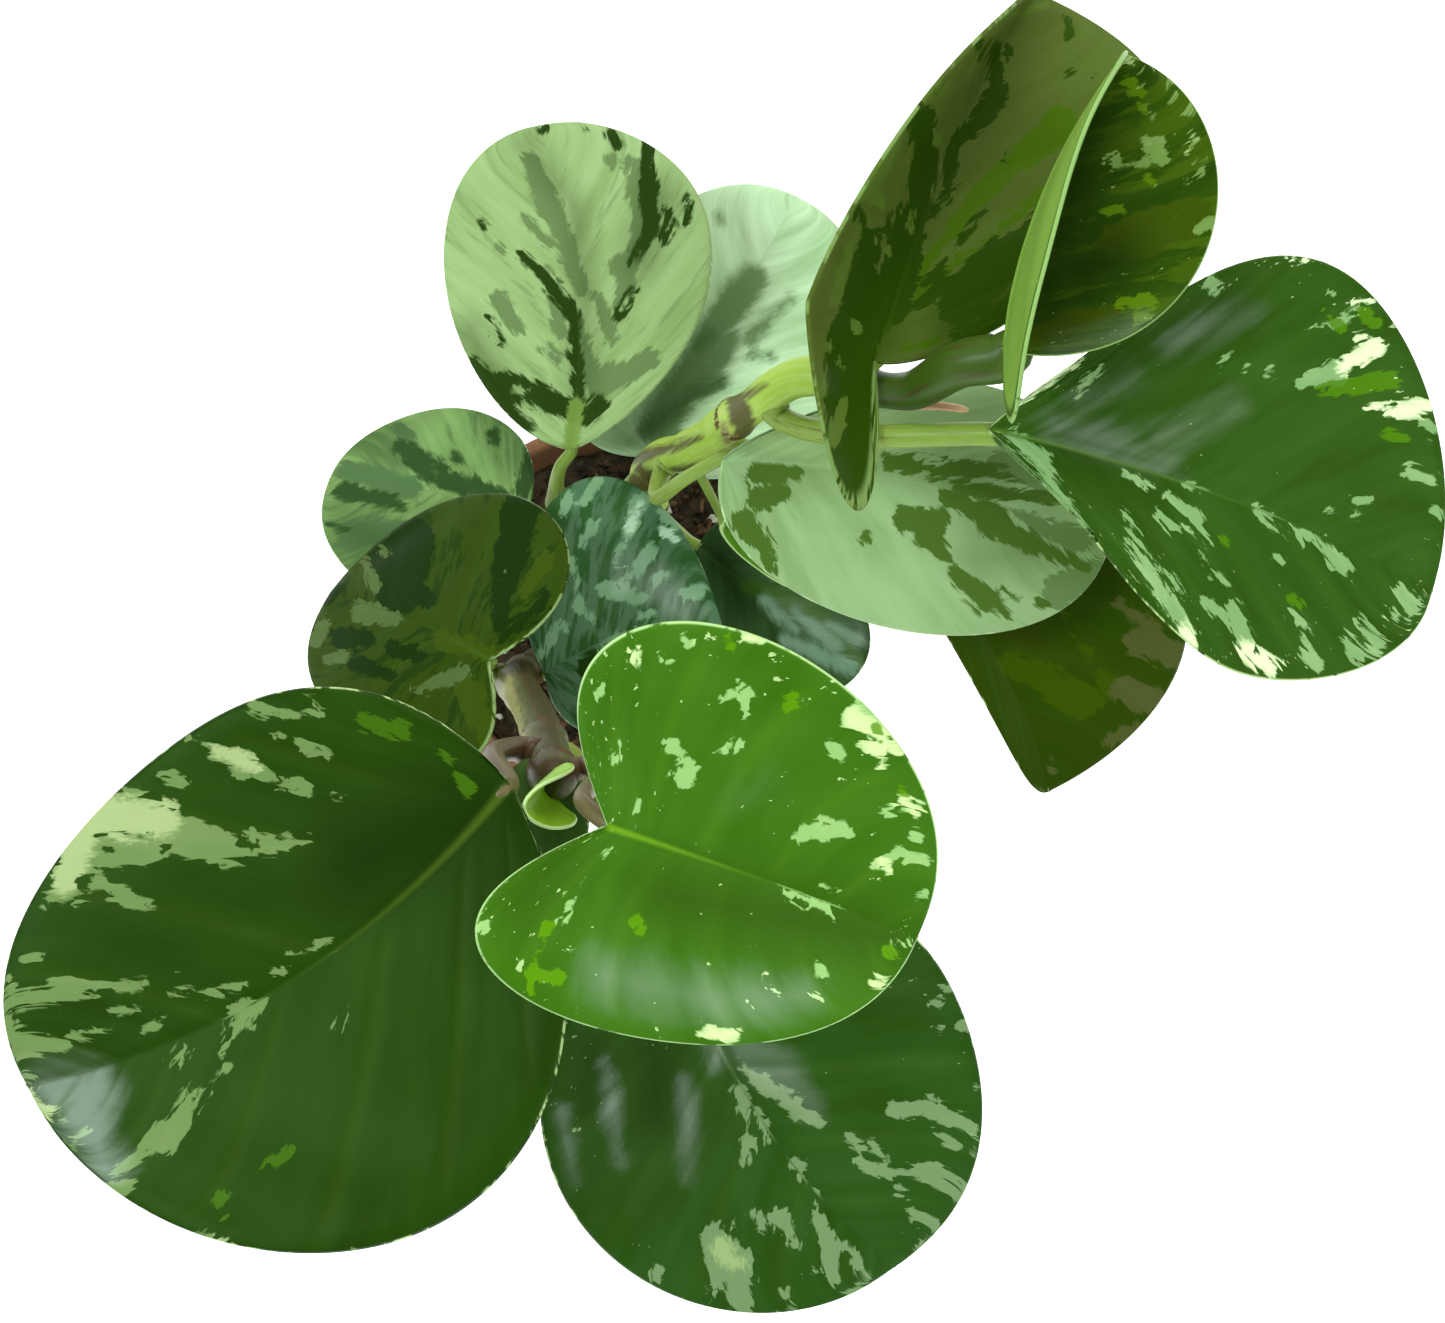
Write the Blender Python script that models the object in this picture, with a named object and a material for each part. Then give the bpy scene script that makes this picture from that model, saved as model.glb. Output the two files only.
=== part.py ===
# Potted marble peperomia: seventeen leaves on three fleshy stems, in soil in a plain clay pot.
# The frame is metres, +Z up, the viewer in front at -Y. The origin is the middle of the pot's underside.
# Leaf and stem sizes below are in millimetres and degrees.
import math

import bmesh
import bpy
from mathutils import Vector

MM = 0.001
GAP = 0.3
BLADE_THICKNESS = 1.0
LEAF_STEPS = 14
HALF_STEPS = 4
SMALL_LEAF_STEPS = 8
SMALL_HALF_STEPS = 2
TUBE_SIDES = 8

POT_HEIGHT = 92.0
POT_RIM_RADIUS = 53.0
POT_BAND_HEIGHT = 18.0
POT_BAND_STEP = 3.0
POT_BASE_RADIUS = 37.0
POT_WALL = 4.5
POT_FLOOR = 6.0
POT_SIDES = 40
DRAIN_RADIUS = 3.5
DRAIN_RING = 17.0
DRAIN_COUNT = 3
SOIL_TOP = 84.0
SOIL_RISE = 2.0
STALK_GAP = 0.5

for leftover in list(bpy.data.objects):
    bpy.data.objects.remove(leftover)

# Each stem is a path through points, with a radius at the foot and at the end.
STEMS = {
    "stem_front": {
        "path": [(-2, -3, 72), (-7, -11, 98), (-15, -25, 118), (-20, -37, 138), (-18.5, -45, 155),
                 (-10.5, -63, 190), (-2, -87, 241), (1, -96, 257)],
        "foot": 4.4, "end": 3.4},
    "stem_right": {
        "path": [(8, 4, 72), (8, 8, 115), (8, 10, 142), (12.5, 7, 159), (18.6, 0.5, 175.5),
                 (30, -9, 210), (40, -9, 223), (52, -14, 228)],
        "foot": 4.8, "end": 3.4},
    "stem_back": {
        "path": [(-10, 9, 72), (-11, 9.5, 100), (-13, 11, 120), (-14, 12, 129)],
        "foot": 4.2, "end": 3.6},
}

# Each leaf starts at its base, where the blade meets its stalk, and heads for its tip.
# heading, rise and roll turn it. left and right are its half widths. widest says where along it they fall.
# A lobe reaches back past the base, and a hook swings it sideways. bend sways the midrib.
# fold lifts each half from the midrib, and curl turns it on from there.
# stalk gives points on the stalk's way from its stem to the base, the first one close to the stem.
LEAVES = {
    "leaf_front_left": {
        "base": (-4.5, -99, 267), "heading": -150, "rise": -10, "roll": -10,
        "length": 82.5, "left": 37, "right": 35, "bend": 0.09, "widest": 0.47,
        "lobe_left": 0, "lobe_right": -0.08, "taper": -0.27, "fold_left": 8, "fold_right": 3,
        "droop": -6, "stem": "stem_front", "stalk": [(-7, -87, 245), (-8.5, -91.5, 256)]},
    "leaf_front_top": {
        "base": (7, -107.5, 281), "heading": -18, "rise": -12, "roll": 26,
        "length": 48.5, "left": 33.5, "right": 27, "bend": 0.01, "widest": 0.4,
        "lobe_left": 0.33, "lobe_right": 0.45, "taper": 0.19, "fold_left": 15, "fold_right": 9,
        "droop": -4, "stem": "stem_front", "stalk": [(7, -92, 254), (7.5, -97.5, 264), (6.5, -103.5, 275)],
        "stalk_radius": 1.5},
    "leaf_front_low": {
        "base": (20, -118.5, 236.5), "heading": -54, "rise": -22, "roll": 9,
        "length": 63, "left": 36, "right": 31.5, "bend": -0.07, "widest": 0.45,
        "lobe_left": 0.06, "lobe_right": 0.27, "taper": -0.04, "fold_left": 1, "fold_right": 9,
        "droop": -12, "stem": "stem_front", "stalk": [(7, -90, 236), (14, -108, 239)]},
    "leaf_left_dark": {
        "base": (-23, -43.5, 166), "heading": 149, "rise": -24, "roll": -4,
        "length": 54, "left": 29.5, "right": 38.5, "bend": -0.03, "widest": 0.48,
        "lobe_left": 0.55, "lobe_right": 0.38, "taper": 0.23, "fold_left": -1, "fold_right": -6,
        "droop": -7, "stem": "stem_front", "stalk": [(-27, -39, 149), (-26, -42, 160)]},
    "leaf_left_back": {
        "base": (-20.5, 2, 138), "heading": 164, "rise": -6, "roll": -2,
        "length": 51, "left": 28.5, "right": 23, "bend": -0.03, "widest": 0.44,
        "lobe_left": 0.11, "lobe_right": 0.04, "taper": 0, "fold_left": 5, "fold_right": -1,
        "droop": -6, "stem": "stem_back", "stalk": [(-17, 2, 121), (-20, 1.5, 131)]},
    "leaf_middle": {
        "base": (-14.5, -37, 138.5), "heading": 15, "rise": 2, "roll": 13,
        "length": 42, "left": 37.5, "right": 30, "bend": 0.09, "widest": 0.55,
        "lobe_left": 0.19, "lobe_right": 0.07, "taper": 0.08, "fold_left": 10, "fold_right": 31,
        "droop": -10, "stem": "stem_front", "stalk": [(-8, -27, 119), (-10, -35, 132)]},
    "leaf_back_tall": {
        "base": (-9.5, 15, 147), "heading": 97, "rise": 14, "roll": -10,
        "length": 80.5, "left": 32, "right": 34.5, "bend": -0.07, "widest": 0.48,
        "lobe_left": -0.09, "lobe_right": -0.06, "taper": 0.12, "fold_left": 4, "fold_right": 9,
        "droop": -7, "stem": "stem_back", "at_end": True, "stalk": [(-13.5, 13, 136), (-12, 13.5, 142)]},
    "leaf_back_broad": {
        "base": (8.5, 18, 137.5), "heading": 61, "rise": 12, "roll": 3,
        "length": 73.5, "left": 32, "right": 33, "bend": -0.01, "widest": 0.52,
        "lobe_left": 0.25, "lobe_right": 0.1, "taper": 0.05, "fold_left": 2, "fold_right": 5,
        "droop": -3, "stem": "stem_back", "stalk": [(-3, 12, 114), (5, 17, 130)]},
    "leaf_curled": {
        "base": (52.5, -13, 235.2), "heading": 66.5, "rise": 11, "roll": 13,
        "length": 76, "left": 23.4, "right": 35, "bend": 0.03, "widest": 0.484, "widest_right": 0.6,
        "lobe_left": 0.63, "blunt_left": 0.525, "lobe_right": -0.15, "taper": 0, "taper_left": 0.175,
        "base_fold_left": 13, "fold_left": 87, "fold_right": 11, "hook": 0.45, "droop": 0, "steps": 22,
        "stem": "stem_right", "stalk": [(49, -10.5, 234)],
        "solver": "MANIFOLD"},
    "leaf_folded": {
        "base": (72.5, -20.5, 252), "heading": 67, "rise": 16, "roll": 5,
        "length": 52.5, "left": 24, "right": 28.5, "bend": 0.07, "widest": 0.45,
        "lobe_left": 0.55, "lobe_right": -0.05, "taper": 0.1, "fold_left": 93, "fold_right": 7,
        "curl_left": 7, "droop": 7, "stem": "stem_right", "at_end": True,
        "stalk": [(60, -17.5, 234), (67, -20, 245)]},
    "leaf_right_large": {
        "base": (71, -28, 238.5), "heading": -17, "rise": -8, "roll": 11,
        "length": 84, "left": 48.5, "right": 33, "bend": 0.03, "widest": 0.38,
        "lobe_left": -0.12, "lobe_right": -0.3, "taper": 0.49, "taper_left": 0.33, "fold_left": 7,
        "fold_right": 11, "droop": -6,
        "stem": "stem_right", "stalk": [(38, -14.5, 214), (43, -18, 219), (53, -23.5, 227.5)],
        "solver": "MANIFOLD"},
    "leaf_right_pale": {
        "base": (25.5, -15.5, 202.5), "heading": -10, "rise": -8, "roll": 35,
        "length": 78, "left": 26, "right": 30, "bend": 0.05, "widest": 0.49,
        "lobe_left": -0.3, "lobe_right": 0.03, "taper": 0.12, "fold_left": -36, "fold_right": 5,
        "droop": 1, "stem": "stem_right", "stalk": [(10, -4, 164), (12, -12, 178), (18, -15, 193)],
        "solver": "MANIFOLD"},
    "leaf_right_low": {
        "base": (59, -17.5, 181.5), "heading": -55.5, "rise": -24, "roll": 17.5,
        "length": 69, "left": 40.5, "right": 7, "bend": 0.07, "widest": 0.58,
        "lobe_left": 0.06, "lobe_right": 0.13, "taper": 0.09, "fold_left": 11, "fold_right": 8,
        "droop": -6, "stem": "stem_right", "stalk": [(28, -4, 187), (38, -7, 181), (49, -12, 180)]},
    "leaf_centre_dark": {
        "base": (20, -2.5, 132), "heading": -37, "rise": -12, "roll": 16,
        "length": 48, "left": 17, "right": 19.5, "bend": -0.01, "widest": 0.52,
        "lobe_left": 0.12, "lobe_right": 0.12, "taper": 0.1, "fold_left": 4, "fold_right": 4,
        "droop": 0, "stem": "stem_right", "stalk": [(14, 5, 125), (17.5, 0, 129)]},
    "leaf_small_right": {
        "base": (25.5, -16, 174), "heading": -35, "rise": -12, "roll": 16,
        "length": 23, "left": 8, "right": 3.5, "bend": 0, "widest": 0.52,
        "lobe_left": 0.12, "lobe_right": 0.1, "taper": 0.11, "fold_left": 8, "fold_right": 8,
        "droop": 0, "stem": "stem_right", "stalk": [(22, -4, 168), (25, -12, 170)], "small": True},
}

# The shoot's two youngest leaves are grown into the front stem's end.
BUDS = {
    "bud_low": {
        "base": (0, -97, 254), "heading": -86, "rise": -14, "roll": 1,
        "length": 13, "left": 6, "right": 5.5, "bend": 0, "widest": 0.5,
        "lobe_left": 0.1, "lobe_right": 0.1, "taper": 0.1, "fold_left": 8, "fold_right": 8,
        "droop": 0},
    "bud_cupped": {
        "base": (-0.5, -95, 253), "heading": 255, "rise": 60, "roll": -75,
        "length": 15, "left": 8, "right": 8, "bend": 0, "widest": 0.5,
        "lobe_left": 0, "lobe_right": 0, "taper": 0.1, "fold_left": 30, "fold_right": 30,
        "curl_left": 60, "curl_right": 60, "droop": 0},
}


def make_material(name, colour, roughness):
    material = bpy.data.materials.new(name)
    material.use_nodes = True
    shader = material.node_tree.nodes["Principled BSDF"]
    shader.inputs["Base Color"].default_value = (*colour, 1.0)
    shader.inputs["Roughness"].default_value = roughness
    return material


def dark_leaf_material():
    return make_material("leaf_dark", (0.05, 0.14, 0.03), 0.35)


def bright_leaf_material():
    return make_material("leaf_bright", (0.1, 0.26, 0.03), 0.35)


def pale_leaf_material():
    return make_material("leaf_pale", (0.35, 0.48, 0.22), 0.4)


def stem_material():
    return make_material("stem", (0.28, 0.27, 0.07), 0.45)


def soil_material():
    return make_material("soil", (0.05, 0.03, 0.02), 0.95)


def clay_material():
    return make_material("clay", (0.5, 0.2, 0.1), 0.85)


def new_object(name, mesh_data, material):
    mesh = bpy.data.meshes.new(name)
    mesh_data.to_mesh(mesh)
    mesh_data.free()
    item = bpy.data.objects.new(name, mesh)
    bpy.context.collection.objects.link(item)
    mesh.materials.append(material)
    mesh.shade_smooth()
    return item


def apply_modifiers(item):
    depsgraph = bpy.context.evaluated_depsgraph_get()
    mesh = bpy.data.meshes.new_from_object(item.evaluated_get(depsgraph))
    item.modifiers.clear()
    item.data = mesh
    mesh.shade_smooth()


def combine(item, other, operation, solver="EXACT"):
    modifier = item.modifiers.new("combine", "BOOLEAN")
    modifier.operation = operation
    modifier.solver = solver
    modifier.object = other
    other.hide_render = True
    other.display_type = "WIRE"
    apply_modifiers(item)
    bpy.data.objects.remove(other)


# A strip that starts at one angle and turns evenly: how far it has run sideways, and how high.
def arc(distance, start, turn_per_mm):
    if abs(turn_per_mm) < 1e-5:
        return distance * math.cos(start), distance * math.sin(start)
    end = start + turn_per_mm * distance
    run = (math.sin(end) - math.sin(start)) / turn_per_mm
    height = (math.cos(start) - math.cos(end)) / turn_per_mm
    return run, height


# around goes from 0 at the base to pi at the tip, across from -1 at the right margin to 1 at the left.
def blade_point(leaf, around, across):
    side = "left" if across > 0 else "right"
    length = leaf["length"]
    along = (1 - math.cos(around)) / 2
    bulge = math.sin(around)
    blunt = leaf.get("blunt_" + side, 1)
    back = leaf["lobe_" + side] * bulge ** blunt * (1 + math.cos(around)) / 2
    widest = leaf.get("widest_" + side, leaf["widest"])
    margin = along + (widest - 0.5) * bulge ** 2 - back
    half = bulge * (1 - leaf.get("taper_" + side, leaf["taper"]) * ((1 + math.cos(around)) / 2) ** 2)
    x = (along + (margin - along) * across ** 2) * length
    at_tip = leaf["fold_" + side]
    at_base = leaf.get("base_fold_" + side, at_tip)
    start = math.radians(at_base + (at_tip - at_base) * along)
    turn = math.radians(leaf.get("curl_" + side, 0)) / leaf[side]
    run, height = arc(half * abs(across) * leaf[side], start, turn)
    bow = math.radians(leaf["droop"]) / length
    reach, lift = arc(max(x, 0.0), 0.0, bow)
    reach += min(x, 0.0)
    lean = bow * max(x, 0.0)
    q = x / length
    sway = length * (4 * leaf["bend"] * q * (1 - q) + leaf.get("hook", 0) * min(q, 0.0))
    run = run if across > 0 else -run
    return Vector((reach - math.sin(lean) * height, sway + run, lift + math.cos(lean) * height))


def leaf_axes(leaf):
    heading = math.radians(leaf["heading"])
    rise = math.radians(leaf["rise"])
    roll = math.radians(leaf["roll"])
    forward = Vector((math.cos(rise) * math.cos(heading), math.cos(rise) * math.sin(heading), math.sin(rise)))
    level = Vector((-math.sin(heading), math.cos(heading), 0))
    top = forward.cross(level)
    leftward = level * math.cos(roll) + top * math.sin(roll)
    upward = top * math.cos(roll) - level * math.sin(roll)
    return forward, leftward, upward


def placed(leaf, point):
    forward, leftward, upward = leaf_axes(leaf)
    spot = Vector(leaf["base"]) + forward * point.x + leftward * point.y + upward * point.z
    return spot * MM


# The blade is a net of triangles between the base and the tip, thickened the same on both faces.
def make_blade(name, leaf, material):
    steps = SMALL_LEAF_STEPS if leaf.get("small") else leaf.get("steps", LEAF_STEPS)
    halves = SMALL_HALF_STEPS if leaf.get("small") else HALF_STEPS
    net = bmesh.new()
    base = net.verts.new(placed(leaf, blade_point(leaf, 0, 0)))
    tip = net.verts.new(placed(leaf, blade_point(leaf, math.pi, 0)))
    rows = []
    for step in range(1, steps):
        around = math.pi * step / steps
        row = []
        for place in range(-halves, halves + 1):
            row.append(net.verts.new(placed(leaf, blade_point(leaf, around, place / halves))))
        rows.append(row)
    for place in range(2 * halves):
        net.faces.new((base, rows[0][place], rows[0][place + 1]))
        net.faces.new((tip, rows[-1][place + 1], rows[-1][place]))
    for near, far in zip(rows, rows[1:]):
        for place in range(2 * halves):
            if place < halves:
                net.faces.new((near[place], far[place], far[place + 1]))
                net.faces.new((near[place], far[place + 1], near[place + 1]))
            else:
                net.faces.new((near[place], far[place], near[place + 1]))
                net.faces.new((far[place], far[place + 1], near[place + 1]))
    bmesh.ops.recalc_face_normals(net, faces=net.faces)
    blade = new_object(name, net, material)
    sheet = blade.modifiers.new("thickness", "SOLIDIFY")
    sheet.thickness = BLADE_THICKNESS * MM
    sheet.offset = 0
    apply_modifiers(blade)
    return blade


# A closed tube along a path. Each ring turns on from the last, so it doesn't twist.
def make_tube(name, path, start_radius, end_radius, material, sides=TUBE_SIDES):
    points = [Vector(point) * MM for point in path]
    net = bmesh.new()
    rings = []
    normal = None
    for index, point in enumerate(points):
        before = points[max(index - 1, 0)]
        after = points[min(index + 1, len(points) - 1)]
        direction = (after - before).normalized()
        if normal is None:
            normal = direction.orthogonal()
        normal = (normal - direction * normal.dot(direction)).normalized()
        other = direction.cross(normal)
        share = index / (len(points) - 1)
        radius = (start_radius + (end_radius - start_radius) * share) * MM
        ring = []
        for side in range(sides):
            angle = 2 * math.pi * side / sides
            ring.append(net.verts.new(point + (normal * math.cos(angle) + other * math.sin(angle)) * radius))
        rings.append(ring)
    for near, far in zip(rings, rings[1:]):
        for side in range(sides):
            after = (side + 1) % sides
            net.faces.new((near[side], near[after], far[after], far[side]))
    net.faces.new(list(reversed(rings[0])))
    net.faces.new(rings[-1])
    return new_object(name, net, material)


# A smooth path through points, with some places between each two.
def smooth_path(points, between):
    knots = [Vector(point) for point in points]
    path = []
    for index in range(len(knots) - 1):
        a = knots[max(index - 1, 0)]
        b = knots[index]
        c = knots[index + 1]
        d = knots[min(index + 2, len(knots) - 1)]
        for step in range(between):
            t = step / between
            path.append(0.5 * (2 * b + (c - a) * t + (2 * a - 5 * b + 4 * c - d) * t * t
                               + (3 * b - a - 3 * c + d) * t ** 3))
    path.append(knots[-1])
    return path


# Where a stalk stands off its stem: the nearest place on the stem, then straight out, or on past its end.
def stalk_start(leaf):
    stem = STEMS[leaf["stem"]]
    path = smooth_path(stem["path"], 2)
    if leaf.get("at_end"):
        outward = (path[-1] - path[-2]).normalized()
        return [path[-1] + outward * STALK_GAP, path[-1] + outward * (STALK_GAP + 1.5)]
    target = Vector(leaf["stalk"][0])
    best = None
    for index, (near, far) in enumerate(zip(path, path[1:])):
        share = (target - near).dot(far - near) / (far - near).length_squared
        share = min(max(share, 0.0), 1.0)
        spot = near.lerp(far, share)
        away = (target - spot).length
        if best is None or away < best[0]:
            best = (away, spot, (index + share) / (len(path) - 1))
    outward = (target - best[1]).normalized()
    radius = stem["foot"] + (stem["end"] - stem["foot"]) * best[2]
    return [best[1] + outward * (radius + STALK_GAP), best[1] + outward * (radius + STALK_GAP + 1.5)]


# The stalk ends inside the blade's base, where the two are joined into one body.
def make_leaf(name, leaf, material):
    blade = make_blade(name, leaf, material)
    forward, leftward, upward = leaf_axes(leaf)
    base = Vector(leaf["base"])
    small = leaf.get("small")
    thick = leaf.get("stalk_radius", 1.2 if small else 2.2)
    thin = 0.8 if small else 1.1
    on_the_way = leaf["stalk"] if leaf.get("at_end") else leaf["stalk"][1:]
    first, second = stalk_start(leaf)
    points = [second] + list(on_the_way)
    points += [base - upward * 1.5 + forward * 0.5, base - upward * 0.9 + forward * 5.0]
    stalk = make_tube(name + "_stalk", [first] + smooth_path(points, 2), thick, thin, material)
    combine(blade, stalk, "UNION", leaf.get("solver", "EXACT"))
    return blade


def make_stems(material):
    made = {}
    for name, stem in STEMS.items():
        tube = make_tube(name, smooth_path(stem["path"], 2), stem["foot"], stem["end"], material, 10)
        made[name] = tube
    for name, leaf in BUDS.items():
        leaf["small"] = True
        bud = make_blade(name, leaf, material)
        combine(made["stem_front"], bud, "UNION")
    return made


# A turned body from a profile of radius and height, closed at the axis.
def make_turned(name, profile, sides, material):
    net = bmesh.new()
    rings = []
    for radius, height in profile:
        if radius == 0:
            rings.append([net.verts.new((0, 0, height * MM))])
            continue
        ring = []
        for side in range(sides):
            angle = 2 * math.pi * side / sides
            ring.append(net.verts.new((radius * MM * math.cos(angle), radius * MM * math.sin(angle), height * MM)))
        rings.append(ring)
    for near, far in zip(rings, rings[1:]):
        for side in range(sides):
            after = (side + 1) % sides
            if len(near) == 1:
                net.faces.new((near[0], far[after], far[side]))
            elif len(far) == 1:
                net.faces.new((near[side], near[after], far[0]))
            else:
                net.faces.new((near[side], near[after], far[after], far[side]))
    bmesh.ops.recalc_face_normals(net, faces=net.faces)
    return new_object(name, net, material)


def outer_radius(height):
    share = height / (POT_HEIGHT - POT_BAND_HEIGHT)
    return POT_BASE_RADIUS + (POT_RIM_RADIUS - POT_BAND_STEP - POT_BASE_RADIUS) * share


def inner_radius(height):
    return outer_radius(height) - POT_WALL


def make_pot(material):
    band_foot = POT_HEIGHT - POT_BAND_HEIGHT
    profile = [
        (0, 0),
        (POT_BASE_RADIUS, 0),
        (outer_radius(band_foot), band_foot),
        (POT_RIM_RADIUS - 1, band_foot + 0.5),
        (POT_RIM_RADIUS, band_foot + 2),
        (POT_RIM_RADIUS, POT_HEIGHT - 2),
        (POT_RIM_RADIUS - 1.5, POT_HEIGHT),
        (inner_radius(POT_HEIGHT) + 1, POT_HEIGHT),
        (inner_radius(POT_HEIGHT - 2), POT_HEIGHT - 2),
        (inner_radius(POT_FLOOR), POT_FLOOR),
        (0, POT_FLOOR),
    ]
    pot = make_turned("pot", profile, POT_SIDES, material)
    for index in range(DRAIN_COUNT):
        angle = 2 * math.pi * (index + 0.25) / DRAIN_COUNT
        x = DRAIN_RING * math.cos(angle)
        y = DRAIN_RING * math.sin(angle)
        cutter = make_tube("drain_cutter", [(x, y, -2), (x, y, POT_FLOOR + 2)], DRAIN_RADIUS, DRAIN_RADIUS,
                           material, 12)
        combine(pot, cutter, "DIFFERENCE")
    return pot


# The soil fills the pot to its shoulder, rises a little to the middle, and has a hole for each stem's foot.
def make_soil(material):
    foot = POT_FLOOR + GAP
    profile = [
        (0, foot),
        (inner_radius(foot) - GAP, foot),
        (inner_radius(SOIL_TOP) - GAP, SOIL_TOP),
        (inner_radius(SOIL_TOP) * 0.75, SOIL_TOP + SOIL_RISE * 0.6),
        (inner_radius(SOIL_TOP) * 0.4, SOIL_TOP + SOIL_RISE),
        (0, SOIL_TOP + SOIL_RISE),
    ]
    soil = make_turned("soil", profile, POT_SIDES, material)
    for name, stem in STEMS.items():
        foot_point = Vector(stem["path"][0])
        path = smooth_path(stem["path"], 2)
        first = Vector(path[0])
        heading = (Vector(path[1]) - first).normalized()
        start = first - heading * 0.8
        end = first + heading * 30
        cutter = make_tube(name + "_cutter", [start, end], stem["foot"] + 0.6, stem["foot"] + 0.6, material, 12)
        combine(soil, cutter, "DIFFERENCE")
    return soil


def main():
    dark = dark_leaf_material()
    bright = bright_leaf_material()
    pale = pale_leaf_material()
    pale_names = ("leaf_left_back", "leaf_back_tall", "leaf_back_broad", "leaf_right_pale")
    for name, leaf in LEAVES.items():
        material = pale if name in pale_names else dark
        if name in ("leaf_front_top", "leaf_small_right"):
            material = bright
        make_leaf(name, leaf, material)
    make_stems(stem_material())
    make_pot(clay_material())
    make_soil(soil_material())


main()
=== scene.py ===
import bpy
import numpy as np
from mathutils import Matrix, Vector


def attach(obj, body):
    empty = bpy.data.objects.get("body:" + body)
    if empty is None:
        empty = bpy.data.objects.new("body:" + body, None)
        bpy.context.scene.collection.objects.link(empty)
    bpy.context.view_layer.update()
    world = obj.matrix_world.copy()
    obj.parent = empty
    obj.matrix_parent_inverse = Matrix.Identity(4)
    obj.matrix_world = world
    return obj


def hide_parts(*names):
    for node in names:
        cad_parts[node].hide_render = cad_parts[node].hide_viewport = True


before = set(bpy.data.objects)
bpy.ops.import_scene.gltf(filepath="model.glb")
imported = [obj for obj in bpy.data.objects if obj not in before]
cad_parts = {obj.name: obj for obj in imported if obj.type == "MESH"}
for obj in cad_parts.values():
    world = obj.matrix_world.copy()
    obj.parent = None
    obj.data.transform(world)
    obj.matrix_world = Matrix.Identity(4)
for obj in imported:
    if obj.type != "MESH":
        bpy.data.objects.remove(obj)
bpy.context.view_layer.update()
mm = 0.001
print("frame loaded:", len(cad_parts), "nodes")

view = {
    "place": (25.5, -164.9, 498.6),
    "down": 70,             # degrees below the horizon
    "focal": 1702,          # in the photograph's pixels
    "middle": (722.5, 661.5),
    "wide": 1445,
    "sensor": 36,
    "nearest": 0.01}        # in metres


def viewAxes():
    down = np.radians(view["down"])
    right = np.array([1.0, 0.0, 0.0])
    ahead = np.array([0.0, np.cos(down), -np.sin(down)])
    up = np.array([0.0, np.sin(down), np.cos(down)])
    return right, ahead, up


def linked(name, data):
    made = bpy.data.objects.new(name, data)
    bpy.context.scene.collection.objects.link(made)
    return made


def makeCamera():
    right, ahead, up = viewAxes()
    lens = bpy.data.cameras.new("camera")
    lens.sensor_width = view["sensor"]
    lens.lens = view["sensor"] * view["focal"] / view["wide"]
    lens.clip_start = view["nearest"]
    camera = linked("camera", lens)
    turned = Matrix((right, up, -ahead)).transposed().to_4x4()
    turned.translation = Vector(view["place"]) * mm
    camera.matrix_world = turned
    bpy.context.scene.camera = camera


# Where points in mm fall in the photograph, in its pixels, and how many mm a pixel covers there. A place is
# how far the point lies right of the view's axis, or above it, over its depth, times the focal length.
def inPhoto(points):
    right, ahead, up = viewAxes()
    away = points - np.array(view["place"])
    depth = away @ ahead
    x = view["middle"][0] + view["focal"] * (away @ right) / depth
    y = view["middle"][1] - view["focal"] * (away @ up) / depth
    return x, y, depth / view["focal"]


makeCamera()


# One socket. Sums on it add Math nodes, and node() adds any other node.
class Wire:
    def __init__(self, tree, socket=None):
        self.tree = tree
        self.socket = socket

    def node(self, kind, settings, sockets, output=0):
        made = self.tree.nodes.new(kind)
        for name, value in settings.items():
            setattr(made, name, value)
        for name, value in sockets.items():
            if isinstance(value, Wire):
                self.tree.links.new(value.socket, made.inputs[name])
            else:
                made.inputs[name].default_value = value
        return Wire(self.tree, made.outputs[output])

    def math(self, operation, *values):
        return self.node("ShaderNodeMath", {"operation": operation}, dict(enumerate(values)))

    def __add__(self, other):
        return self.math("ADD", self, other)

    def __sub__(self, other):
        return self.math("SUBTRACT", self, other)

    def __mul__(self, other):
        return self.math("MULTIPLY", self, other)

    def __rsub__(self, other):
        return self.math("SUBTRACT", other, self)

    __radd__ = __add__

    def most(self, other):
        return self.math("MAXIMUM", self, other)

    # 0 below low, 1 above high and a smooth step between them.
    def rise(self, low, high):
        sockets = {"Value": self, "From Min": low, "From Max": high}
        return self.node("ShaderNodeMapRange", {"interpolation_type": "SMOOTHSTEP"}, sockets)

    # From one colour to another by this value.
    def tint(self, first, second):
        first = first if isinstance(first, Wire) else (*first, 1)
        second = second if isinstance(second, Wire) else (*second, 1)
        return self.node("ShaderNodeMix", {"data_type": "RGBA"}, {0: self, 6: first, 7: second}, 2)


def attribute(tree, name, output="Fac"):
    return Wire(tree).node("ShaderNodeAttribute", {"attribute_name": name}, {}, output)


def objectPlace(tree):
    return Wire(tree).node("ShaderNodeTexCoord", {}, {}, "Object")


def stretched(place, scale):
    return place.node("ShaderNodeVectorMath", {"operation": "MULTIPLY"}, {0: place, 1: scale})


def moved(place, way):
    return place.node("ShaderNodeVectorMath", {"operation": "ADD"}, {0: place, 1: way})


def noise(place, scale, detail, rough, output="Fac"):
    sockets = {"Vector": place, "Scale": scale, "Detail": detail, "Roughness": rough}
    return place.node("ShaderNodeTexNoise", {}, sockets, output)


# A random value for each of the cells that fill the place, whose borders are straight and angular.
def cells(place):
    colour = place.node("ShaderNodeTexVoronoi", {}, {"Vector": place, "Scale": 1.0}, "Color")
    return colour.node("ShaderNodeSeparateColor", {}, {"Color": colour}, "Red")


def bumpOf(height, distance, strength):
    sockets = {"Height": height, "Distance": distance, "Strength": strength}
    return height.node("ShaderNodeBump", {}, sockets)


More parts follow.
